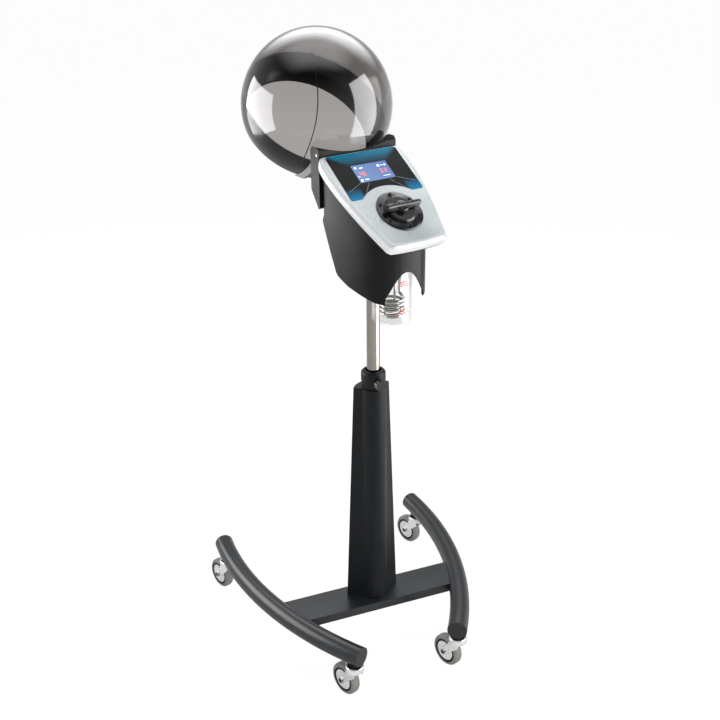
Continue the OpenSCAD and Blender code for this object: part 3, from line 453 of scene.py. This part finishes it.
def loft(loops, capped=True):
    """Quads between closed loops that have the same number of points."""
    verts = [p for loop in loops for p in loop]
    n = len(loops[0])
    faces = []
    for i in range(len(loops) - 1):
        for k in range(n):
            k2 = (k + 1) % n
            faces.append((i * n + k, i * n + k2, (i + 1) * n + k2, (i + 1) * n + k))
    if capped:
        faces.append(tuple(reversed(range(n))))
        faces.append(tuple((len(loops) - 1) * n + k for k in range(n)))
    return verts, faces


def ring_of_loops(loops):
    """A closed skin whose last loop joins its first again."""
    verts, faces = loft(loops, capped=False)
    n, m = len(loops[0]), len(loops)
    for k in range(n):
        k2 = (k + 1) % n
        faces.append(((m - 1) * n + k, (m - 1) * n + k2, k2, k))
    return verts, faces


def cubic(a, b, c, d, t):
    """A point of the curve that runs from a to d and is drawn towards b and c."""
    s = 1 - t
    return a * s**3 + b * (3 * s * s * t) + c * (3 * s * t * t) + d * t**3


def bend(a, b, c, t):
    """A point of the curve that runs from a to c and is drawn towards b."""
    return a * (1 - t)**2 + b * (2 * t * (1 - t)) + c * t * t


def around(i, count):
    """The cosine and sine of one step of a full turn."""
    angle = 2 * math.pi * i / count
    return math.cos(angle), math.sin(angle)


def tube(path, radius, sides, hint):
    """A round tube with flat ends along a path; hint gives a direction across it at a step."""
    loops = []
    count = len(path)
    for i, p in enumerate(path):
        along = (path[min(i + 1, count - 1)] - path[max(i - 1, 0)]).normalized()
        b = along.cross(hint(i)).normalized()
        o = b.cross(along)
        turns = [around(k, sides) for k in range(sides)]
        loops.append([p + (o * c + b * s) * radius for c, s in turns])
    return loft(loops)


def lathe(matrix, profile, segments=64, closed=False):
    """A turned form about the frame's z axis, from [radius, height] pairs in millimetres."""
    turns = [around(k, segments) for k in range(segments)]
    loops = [in_mm(matrix, [(radius * c, radius * s, height) for c, s in turns])
             for radius, height in profile]
    return ring_of_loops(loops) if closed else loft(loops)


def slab(matrix, outline, low, high):
    """A flat plate between two heights over an outline, in millimetres of the frame."""
    return loft([in_mm(matrix, [(x, y, low) for x, y in outline]),
                 in_mm(matrix, [(x, y, high) for x, y in outline])])


def merged(parts):
    """Several vertex and face lists as one."""
    verts, faces = [], []
    for v, f in parts:
        base = len(verts)
        verts += v
        faces += [tuple(i + base for i in face) for face in f]
    return verts, faces


def cut_away(piece, cutters):
    """Cuts closed forms out of a piece, and leaves plain mesh."""
    for verts, faces in cutters:
        mesh = bpy.data.meshes.new("cutter")
        mesh.from_pydata([tuple(v) for v in verts], [], faces)
        cutter = bpy.data.objects.new("cutter", mesh)
        bpy.context.scene.collection.objects.link(cutter)
        step = piece.modifiers.new("cut", "BOOLEAN")
        step.object = cutter
        step.solver = "EXACT"
        done = piece.evaluated_get(bpy.context.evaluated_depsgraph_get())
        made = bpy.data.meshes.new_from_object(done)
        piece.modifiers.remove(step)
        old = piece.data
        piece.data = made
        made.name = old.name + "_cut"
        bpy.data.objects.remove(cutter)
    piece.data.shade_smooth()
    piece.data.set_sharp_from_angle(angle=SHARP)


def smooth_over_seams(node):
    """Shades a CAD node smoothly where faces meet at small angles, also across split points."""
    mesh = node.data
    if "custom_normal" in mesh.attributes:
        mesh.attributes.remove(mesh.attributes["custom_normal"])
    mesh.shade_smooth()
    spots = [tuple(round(c, 7) for c in v.co) for v in mesh.vertices]
    faces_at = {}
    for face in mesh.polygons:
        for key in face.edge_keys:
            place = frozenset((spots[key[0]], spots[key[1]]))
            faces_at.setdefault(place, []).append(face.normal)
    sharp = []
    for edge in mesh.edges:
        normals = faces_at.get(frozenset(spots[i] for i in edge.vertices), [])
        sharp.append(len(normals) != 2 or normals[0].angle(normals[1], 0) > SHARP)
    flags = mesh.attributes.get("sharp_edge")
    if flags is None:
        flags = mesh.attributes.new("sharp_edge", "BOOLEAN", "EDGE")
    flags.data.foreach_set("value", sharp)
    weld = node.modifiers.new("weld", "WELD")
    weld.merge_threshold = WELD


for node in NODES.values():
    smooth_over_seams(node)

# The panel's silver frame: a soft bead all round, with a fine valley inside it

SLOPE = math.atan2(-PANEL_NORMAL.dot(HEAD @ Vector((0, 1, 0))), PANEL_NORMAL.z)
# In millimetres: the panel's half width and front edge, its back edge and origin in the head's
# frame, and its corner radius
HALF_W, FRONT = 119, 97
BACK_Y, PANEL_Y = 55.5, -100.6
CORNER = 11


def back_edge(inset, n):
    """How far up the panel its upright back edge lies at this height over the face."""
    return (BACK_Y - PANEL_Y + n * math.sin(SLOPE) - inset) / math.cos(SLOPE)


def panel_loop(inset, n):
    """The frame's outline, drawn in by inset, at the height n over the panel's face."""
    top = back_edge(inset, n)
    w, f = HALF_W, FRONT
    a, b = Vector((w - 15 - inset, 200, 0)), Vector((w + 11 - inset, 140, 0))
    c, d = Vector((w - 11 - inset, 20, 0)), Vector((w - 39 - inset, -f + 12 + inset, 0))

    def at_height(y):
        low, high = 0.0, 0.6
        for _ in range(40):
            mid = (low + high) / 2
            if cubic(a, b, c, d, mid).y > y:
                low = mid
            else:
                high = mid
        return low

    r = max(2.0, CORNER - inset)
    meet = cubic(a, b, c, d, at_height(top))
    t1 = at_height(top - r)
    side = [cubic(a, b, c, d, t1 + (1 - t1) * i / 40) for i in range(41)]
    back_right = Vector((meet.x - r, top, 0))
    round_back = [bend(back_right, meet, side[0], i / 9) for i in range(9)]
    front_start = Vector((w - 47 - inset, -f + 4 + inset, 0))
    front_end = Vector((-front_start.x, front_start.y, 0))
    mid = side[-1] + (side[-1] - side[-2]).normalized() * 3.2
    round_front = [bend(side[-1], mid, front_start, i / 6) for i in range(1, 6)]
    hold_right = Vector((40, -f - 1 + inset, 0))
    hold_left = Vector((-40, -f - 1 + inset, 0))
    right_front = [cubic(front_start, hold_right, hold_left, front_end, i / 32) for i in range(17)]
    back_half = [Vector((back_right.x * i / 10, top, 0)) for i in range(10)]
    right = back_half + round_back + side + round_front + right_front
    left = [Vector((-p.x, p.y, 0)) for p in reversed(right[1:-1])]
    return in_mm(PANEL, [(p.x, p.y, n) for p in right + left])


# The rim's profile: how far in from the outline, and how high over the face
RIM = [(3.6, -3), (3.4, -8), (3.4, -19.6), (2.6, -20), (1, -20), (0.25, -19.3), (0, -18),
       (0, -10.5), (0.2, -8), (0.8, -5.8), (1.9, -3.8), (3.4, -2.1), (5.2, -0.9), (7.2, -0.2),
       (9.2, 0), (10.6, -0.25), (11.6, -0.4), (12.6, -0.25), (13.6, 0)]


def add_fascia():
    loops = [panel_loop(i, n) for i, n in RIM]
    verts, faces = loft(loops)
    piece = new_piece("fascia_frame", verts, faces, SILVER_PAINT, "head")
    half_w, half_h, mid = 47.8, 25.8, 120
    window = slab(PANEL, [(-half_w, mid - half_h), (half_w, mid - half_h),
                          (half_w, mid + half_h), (-half_w, mid + half_h)], -6, 6)
    neck = lathe(PANEL, [(16.3, -12), (16.3, 6)], 72)
    cut_away(piece, [window, neck])
    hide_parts("fascia")


add_fascia()

# The fine lines on the overlay, the icons and the digits on the screen


def stroke(points, width, low, high):
    """A flat line of this width through points on the panel, in millimetres."""
    parts = []
    for (x1, y1), (x2, y2) in zip(points, points[1:]):
        d = Vector((x2 - x1, y2 - y1)).normalized()
        o = Vector((-d.y, d.x)) * (width / 2)
        e = d * (width / 2)
        outline = [(x1 - e.x - o.x, y1 - e.y - o.y), (x2 + e.x - o.x, y2 + e.y - o.y),
                   (x2 + e.x + o.x, y2 + e.y + o.y), (x1 - e.x + o.x, y1 - e.y + o.y)]
        parts.append(slab(PANEL, outline, low, high))
    return parts


def disc(x, y, r, low, high):
    """A round spot on the panel, in millimetres."""
    turns = [around(k, 20) for k in range(20)]
    return slab(PANEL, [(x + r * c, y + r * s) for c, s in turns], low, high)


def panel_art(name, parts, material):
    verts, faces = merged(parts)
    return new_piece(name, verts, faces, material, "head", smooth=False)


# The low and high face of what is printed on the overlay and shown on the screen
ON_OVERLAY = 0.78, 0.9
ON_SCREEN = 0.58, 0.74
LINE_WIDTH, DIGIT_WIDTH, DIGIT_SIZE, DIGIT_Y = 0.55, 1.5, 2.6, 118.5

SEGMENTS = {"a": ((-1, 2), (1, 2)), "b": ((1, 2), (1, 0)), "c": ((1, 0), (1, -2)),
            "d": ((-1, -2), (1, -2)), "e": ((-1, 0), (-1, -2)), "f": ((-1, 2), (-1, 0)),
            "g": ((-1, 0), (1, 0))}
DIGITS = {"2": "abged", "3": "abgcd", "4": "fgbc", "5": "afgcd"}
DIGIT_PLACES = (("4", -33), ("5", -24.5), ("3", 21.5), ("2", 33.5))
ICON_SPOTS = ((-39, 137.3, 3.1), (-40.5, 100.8, 3.3), (21.4, 134.4, 3.6), (39.0, 133.8, 2.5))
# Each bar of the icons: from, to, height up the panel and width
ICON_BARS = ((-28, -21.5, 135.5, 2.6), (-30, -23.5, 101.6, 2.6), (19.5, 38, 103.5, 1.3),
             (28.5, 33.5, 134, 1.3), (-45, -39.5, 112, 1.2))


def digit(which, x, y):
    """A digit made of straight bars, about this point of the panel."""
    parts = []
    for key in DIGITS[which]:
        ends = [(x + dx * DIGIT_SIZE, y + dy * DIGIT_SIZE) for dx, dy in SEGMENTS[key]]
        parts += stroke(ends, DIGIT_WIDTH, *ON_SCREEN)
    return parts


def add_panel_art():
    lines = []
    for s in (-1, 1):
        lines += stroke([(s * 49.5, 94), (s * 90.5, 75)], LINE_WIDTH, *ON_OVERLAY)
        lines += stroke([(s * 28, 91), (s * 46, 70.5), (s * 63, 51)], LINE_WIDTH, *ON_OVERLAY)
    panel_art("overlay_lines", lines, PALE_LINE)

    digits = []
    for which, x in DIGIT_PLACES:
        digits += digit(which, x, DIGIT_Y)
    panel_art("screen_digits", digits, ICON_ORANGE)

    icons = [disc(x, y, r, *ON_SCREEN) for x, y, r in ICON_SPOTS]
    for x1, x2, y, width in ICON_BARS:
        icons += stroke([(x1, y), (x2, y)], width, *ON_SCREEN)
    panel_art("screen_icons", icons, ICON_WHITE)


add_panel_art()

# The filler grip: a waisted bar with flared ends, scooped sides and a ribbed crown


GRIP_FOOT = 10.6 + 0.3
GRIP_REACH, GRIP_ROUND = 48.4, 41


def add_grip():
    loops = []
    count = 48
    sides = 24
    for i in range(count + 1):
        x = GRIP_REACH * (-1 + 2 * i / count)
        # The ends round off in plan
        end = math.sqrt(max(0.0, 1 - max(0.0, (abs(x) - GRIP_ROUND) / 7.45) ** 2))
        flare = 0.5 - 0.5 * math.cos(math.pi * min(1.0, abs(x) / 40))
        half_low = (7.9 + 0.5 * flare) * max(end, 0.06)
        half_top = (5.0 + 0.8 * flare) * max(end, 0.06)
        high = 15.6 + 1.4 * flare - 5.0 * (1 - end)
        loop = []
        for k in range(sides):
            ca, sa = around(k, sides)
            up = 0.5 + 0.5 * math.copysign(abs(sa) ** 0.55, sa)
            half = half_low + (half_top - half_low) * min(1.0, up * 1.15)
            scoop = 1.2 * (1 - flare) * math.exp(-((up - 0.55) / 0.2) ** 2)
            y = math.copysign(abs(ca) ** 0.6, ca) * max(0.4, half - scoop)
            loop.append((x, y, GRIP_FOOT + up * high))
        loops.append(in_mm(PANEL, loop))
    boss = [(0.3, 0.01), (14.6, 0.01), (15, 0.6), (15, 8), (14, 9.4), (12, 10), (0.3, 10)]
    parts = [loft(loops), lathe(PANEL, [(r, GRIP_FOOT + z) for r, z in boss], 48)]
    # Raised ribs on the crown
    for x in (-24, -12, 0, 12, 24):
        crown = GRIP_FOOT + 15.3 + 1.4 * (0.5 - 0.5 * math.cos(math.pi * abs(x) / 40))
        outline = [(x - 4.2, -2.4), (x + 4.2, -2.4), (x + 4.2, 2.4), (x - 4.2, 2.4)]
        parts.append(slab(PANEL, outline, crown - 0.6, crown + 0.75))
    verts, faces = merged(parts)
    piece = new_piece("grip_bar", verts, faces, BLACK_GLOSS, "cap_grip",
                      sharp_angle=40)
    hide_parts("filler_grip")


add_grip()

# The heating coil and the sensor lead, as smooth tubes along the solids' own routes

# In millimetres, in the head's frame: the jar's axis and the coil's sizes
JAR_Y = -74
COIL_TOP, RISER_TOP = PLATE_Z - 106, PLATE_Z - 22
COIL_R, COIL_IN_R, COIL_BEND, COIL_TUBE_R, COIL_PITCH, COIL_TURNS = 27, 16, 8, 3.25, 10, 4


def coil_path():
    """The coil's centre line in the head's frame, and the angle of the way out at each point."""
    points, hints = [], []

    def put(x, y, z, angle):
        points.append((x, JAR_Y + y, z))
        hints.append(angle)

    low = COIL_TOP - COIL_PITCH * COIL_TURNS
    for z in (RISER_TOP, RISER_TOP - 20, RISER_TOP - 40, RISER_TOP - 56, COIL_TOP + COIL_BEND + 6):
        put(COIL_R, COIL_BEND, z, 0)
    for i in range(13):
        t = math.radians(i * 7.5)
        put(COIL_R, COIL_BEND * math.cos(t), COIL_TOP + COIL_BEND * (1 - math.sin(t)), 0)
    steps = 64
    for i in range(1, steps * COIL_TURNS):
        s = i / steps
        a = -2 * math.pi * s
        put(COIL_R * math.cos(a), COIL_R * math.sin(a), COIL_TOP - COIL_PITCH * s, a)
    last = -2 * math.pi * COIL_TURNS
    end = last - math.radians(300)
    c_end, s_end = math.cos(end), math.sin(end)
    for i in range(61):
        a = last - math.radians(5 * i)
        r = COIL_R + (COIL_IN_R - COIL_R) * i / 60
        put(r * math.cos(a), r * math.sin(a), low - 1.5 * i / 60, a)
    for i in range(1, 13):
        t = math.radians(i * 7.5)
        o = COIL_BEND * math.sin(t)
        put(COIL_IN_R * c_end + o * s_end, COIL_IN_R * s_end - o * c_end,
            low - 1.5 + COIL_BEND * (1 - math.cos(t)), end)
    for z in (COIL_TOP - 22, COIL_TOP, COIL_TOP + 28, COIL_TOP + 56, RISER_TOP):
        put(COIL_IN_R * c_end + COIL_BEND * s_end, COIL_IN_R * s_end - COIL_BEND * c_end, z, end)
    return points, hints


def add_coil():
    points, hints = coil_path()
    path = in_mm(HEAD, points)
    turned = [HEAD.to_3x3() @ Vector((math.cos(a), math.sin(a), 0)) for a in hints]
    verts, faces = tube(path, COIL_TUBE_R * MM, 20, lambda i: turned[i])
    piece = new_piece("coil_tube", verts, faces, COIL_STEEL, "head",
                      sharp_angle=60)
    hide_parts("heating_coil")


add_coil()

LEAD_R, LEAD_TUBE_R = 172.4, 1.25
HOOD_Y = 222


def round_hood(r, azimuth, elevation):
    """A point over the hood's centre in the head's frame, in millimetres."""
    az, el = math.radians(azimuth), math.radians(elevation)
    out = r * math.cos(el)
    return out * math.sin(az), HOOD_Y - out * math.cos(az), HOOD_Z + r * math.sin(el)


def lead_place(t):
    """The lead's azimuth and elevation on the hood, from its foot at 0 to its bead at 1."""
    el = -34 + 84 * t
    return -32 - 6 * ((el - 17) / 33) ** 2, el


def add_lead():
    steps = 96
    route = [round_hood(LEAD_R, *lead_place(i / steps)) for i in range(steps + 1)]
    path = in_mm(HEAD, route)
    aside = HEAD.to_3x3() @ Vector((math.cos(math.radians(58)), math.sin(math.radians(58)), 0))
    parts = [tube(path, LEAD_TUBE_R * MM, 16, lambda i: aside)]
    bead = Vector(round_hood(LEAD_R - 2.5, *lead_place(1)))
    ball = [(4 * math.cos(math.radians(a)) + 0.001, 4 * math.sin(math.radians(a)))
            for a in range(-90, 91, 10)]
    parts.append(lathe(HEAD @ Matrix.Translation(bead * MM), ball, 24))
    foot_az, foot_el = lead_place(0)
    foot = Vector(round_hood(LEAD_R - 2, foot_az, foot_el))
    outward = Vector(round_hood(LEAD_R + 8, foot_az, foot_el)) - foot
    frame_at = turned_frame(outward.cross(Vector((0, 0, 1))), outward, foot * MM)
    grommet = [(0.3, 0), (3.4, 0), (4, 0.6), (4, 6.2), (3.6, 6.6), (0.3, 6.6)]
    parts.append(lathe(HEAD @ frame_at, grommet, 32))
    verts, faces = merged(parts)
    piece = new_piece("lead_tube", verts, faces, DARK_RUBBER, "hood",
                      sharp_angle=50)
    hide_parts("sensor_lead")


add_lead()

# Level marks printed on the boiler jar, just outside its wall


PRINT_R, PRINT_DEPTH = 46.12, 0.16
# Each bar of a mark: how far up, how high, and its angles from and to about the jar
MARK_BARS = ((0, 1.8, -112, -72), (4.5, 1.5, -106, -76), (8.0, 3.8, -104, -99),
             (8.0, 3.8, -95, -90), (8.0, 3.8, -86, -81))


def arc_bar(z, height, a0, a1):
    """A thin curved bar on the jar's wall."""
    count = max(2, int((a1 - a0) / 3))
    low, high = PRINT_R, PRINT_R + PRINT_DEPTH
    loops = []
    for i in range(count + 1):
        a = math.radians(a0 + (a1 - a0) * i / count)
        c, s = math.cos(a), math.sin(a)
        loops.append(in_mm(HEAD, [(low * c, JAR_Y + low * s, z), (high * c, JAR_Y + high * s, z),
                                  (high * c, JAR_Y + high * s, z + height),
                                  (low * c, JAR_Y + low * s, z + height)]))
    return loft(loops)


def add_jar_marks():
    parts = []
    for foot in (PLATE_Z - 66.5, PLATE_Z - 130.5):
        for up, height, a0, a1 in MARK_BARS:
            parts.append(arc_bar(foot + up, height, a0, a1))
    verts, faces = merged(parts)
    new_piece("jar_level_marks", verts, faces, RED_PRINT, "head", smooth=False)


add_jar_marks()

# The castors' black rings and nuts: painted shade in the hub grooves and races, painted dark
# reflection on the nuts

# The groove's radius in a hub, the hub's face from its middle, the race's floor over the
# swivel's joint, and the fork's outer face from the wheel's middle
GROOVE_R, HUB_FACE, RACE_FLOOR, FORK_FACE = 64 / 2 - 3.2, 11, 97 - 89, 16


def axle_frame(corner):
    joint = JOINTS[corner + "_wheel_turn"]
    return turned_frame(Vector((0, 0, 1)), Vector(joint["axis"]), Vector(joint["pos_m"]))


def add_hub_rings():
    """A black ring in the groove of each side of a castor's hub, with a lip over its edge: painted
    shade in the groove.
    """
    low, lip, high = HUB_FACE - 2.8, HUB_FACE + 0.05, HUB_FACE + 0.6
    section = [(-2.1, low), (2.1, low), (2.1, lip), (3.1, lip),
               (3.1, high), (-2.6, high), (-2.6, lip), (-2.1, lip)]
    for corner in CORNERS:
        axle = axle_frame(corner)
        verts, faces = merged([
            lathe(axle, [(GROOVE_R + r, s * h) for r, h in section], 64, closed=True)
            for s in (-1, 1)])
        new_piece(corner + "_hub_rings", verts, faces, SHADE_BLACK, corner + "_roller")


def add_fork_details():
    """A black ring on the floor of each castor's race, painted shade in the gap round its washer,
    and dark nuts with a painted dark reflection on the ends of its axle.
    """
    # Painted shade: a black ring laid on the race's floor between the washer and the recess wall
    low, high = RACE_FLOOR + 0.05, RACE_FLOOR + 0.5
    shade_ring = [(14.4, low), (17.9, low), (17.9, high), (14.4, high)]
    low, high = FORK_FACE + 0.05, FORK_FACE + 4.2
    nut = [(0.2, low), (7.25, low), (7.25, high - 0.8), (6.4, high), (0.2, high)]
    for corner in CORNERS:
        upright = Matrix.Translation(Vector(JOINTS[corner + "_swivel_turn"]["pos_m"]))
        verts, faces = lathe(upright, shade_ring, 64, closed=True)
        new_piece(corner + "_race_shade_ring", verts, faces, SHADE_BLACK, corner + "_swivel")
        axle = axle_frame(corner)
        verts, faces = merged([lathe(axle, [(r, s * h) for r, h in nut], 6) for s in (-1, 1)])
        new_piece(corner + "_axle_nuts", verts, faces, NUT_PAINTED_DARK, corner + "_swivel",
                  smooth=False)


add_hub_rings()
add_fork_details()

# Studio


def add_floor():
    """A pale floor: white where it is seen, matt for its shadows, and a sweep in mirrors."""
    mesh = bpy.data.meshes.new("floor")
    half = 30
    corners = [(-half, -half, 0), (half, -half, 0), (half, half, 0), (-half, half, 0)]
    mesh.from_pydata(corners, [], [(0, 1, 2, 3)])
    n = material_nodes("floor_white")
    seen = n.add("ShaderNodeEmission", Color=(1, 1, 1, 1), Strength=1.1)
    matt = n.add("ShaderNodeBsdfDiffuse", Color=(0.86, 0.86, 0.86, 1))
    path = n.add("ShaderNodeLightPath").outputs
    white = n.math("MAXIMUM", path["Is Camera Ray"], path["Is Transmission Ray"])
    # Mirrors see the sweep brighten with its distance
    far = n.add("ShaderNodeVectorMath")
    far.operation = "LENGTH"
    n.put(far, 0, n.coords())
    sweep = n.ranged(far.outputs["Value"], 0, 0.6, 1.3, 3.2)
    mirrored = n.math("MULTIPLY", path["Is Glossy Ray"], sweep)
    share = n.math("MAXIMUM", n.math("MULTIPLY", white, 0.86), mirrored)
    mesh.materials.append(n.finish(n.blended(share, matt, seen)))
    floor = bpy.data.objects.new("floor", mesh)
    bpy.context.scene.collection.objects.link(floor)


def add_surround():
    """A surround that is white where it is seen, and dim for all other light."""
    world = bpy.data.worlds.new("studio")
    bpy.context.scene.world = world
    n = Nodes(world, "ShaderNodeOutputWorld")
    path = n.add("ShaderNodeLightPath").outputs
    # Mirrors see it darken from the horizon up
    direction = n.add("ShaderNodeTexCoord").outputs["Generated"]
    up = n.add("ShaderNodeSeparateXYZ", Vector=direction).outputs["Z"]
    level = n.add("ShaderNodeMix")
    n.put(level, 0, path["Is Glossy Ray"])
    n.put(level, 2, 0.3)
    n.put(level, 3, n.ranged(up, 0.6, 0.06, 0, 0.75))
    dim = n.add("ShaderNodeBackground", Color=(0.97, 0.98, 1, 1), Strength=level.outputs[0])
    bright = n.add("ShaderNodeBackground", Color=(1, 1, 1, 1), Strength=1.0)
    white = n.math("MAXIMUM", path["Is Camera Ray"], path["Is Transmission Ray"])
    n.finish(n.blended(white, dim, bright))


def softbox(name, place, target, size, radiance, matt=True, gloss=True, fade=0.04):
    """A lamp that faces a point and fades towards its edges over this share of its size."""
    data = bpy.data.lights.new(name, "AREA")
    data.shape = "RECTANGLE"
    data.size, data.size_y = size
    data.energy = radiance * math.pi * size[0] * size[1]
    n = Nodes(data, "ShaderNodeOutputLight")
    spot = n.add("ShaderNodeNewGeometry").outputs["Parametric"]
    parts = n.add("ShaderNodeSeparateXYZ", Vector=spot)
    ramps = []
    for axis in (0, 1):
        off = n.math("ABSOLUTE", n.math("SUBTRACT", parts.outputs[axis], 0.5))
        ramps.append(n.ranged(off, 0, 1, 0.5, 0.5 - fade))
        ramps[-1].node.interpolation_type = "SMOOTHSTEP"
    glow = n.add("ShaderNodeEmission", Strength=n.math("MULTIPLY", *ramps))
    n.finish(glow.outputs[0])
    lamp = bpy.data.objects.new(name, data)
    bpy.context.scene.collection.objects.link(lamp)
    lamp.location = place
    lamp.visible_diffuse = matt
    lamp.visible_glossy = gloss
    aim = Vector(target) - Vector(place)
    lamp.rotation_euler = aim.to_track_quat("-Z", "Y").to_euler()


def add_lamps():
    head = (-0.05, 0.22, 1.37)
    softbox("left_back", (-1.55, 1.0, 1.22), head, (2.0, 1.5), 6, matt=False)
    softbox("right", (1.34, -0.75, 1.30), head, (1.3, 2.5), 6, matt=False)
    softbox("top_back", (0.8, 1.7, 2.9), head, (5.0, 2.4), 4.5, fade=0.42)
    softbox("overhead", (0.1, 0.3, 3.6), (0, 0, 1), (4.5, 3.6), 2.0, fade=0.4)
    softbox("left_fill", (-1.9, -1.5, 0.9), (0, 0, 0.4), (1.8, 1.8), 1.0, gloss=False)
    softbox("front_fill", (0.5, -2.6, 0.9), (0, 0, 0.75), (2.0, 2.0), 2.4, gloss=False)


add_floor()
add_surround()
add_lamps()
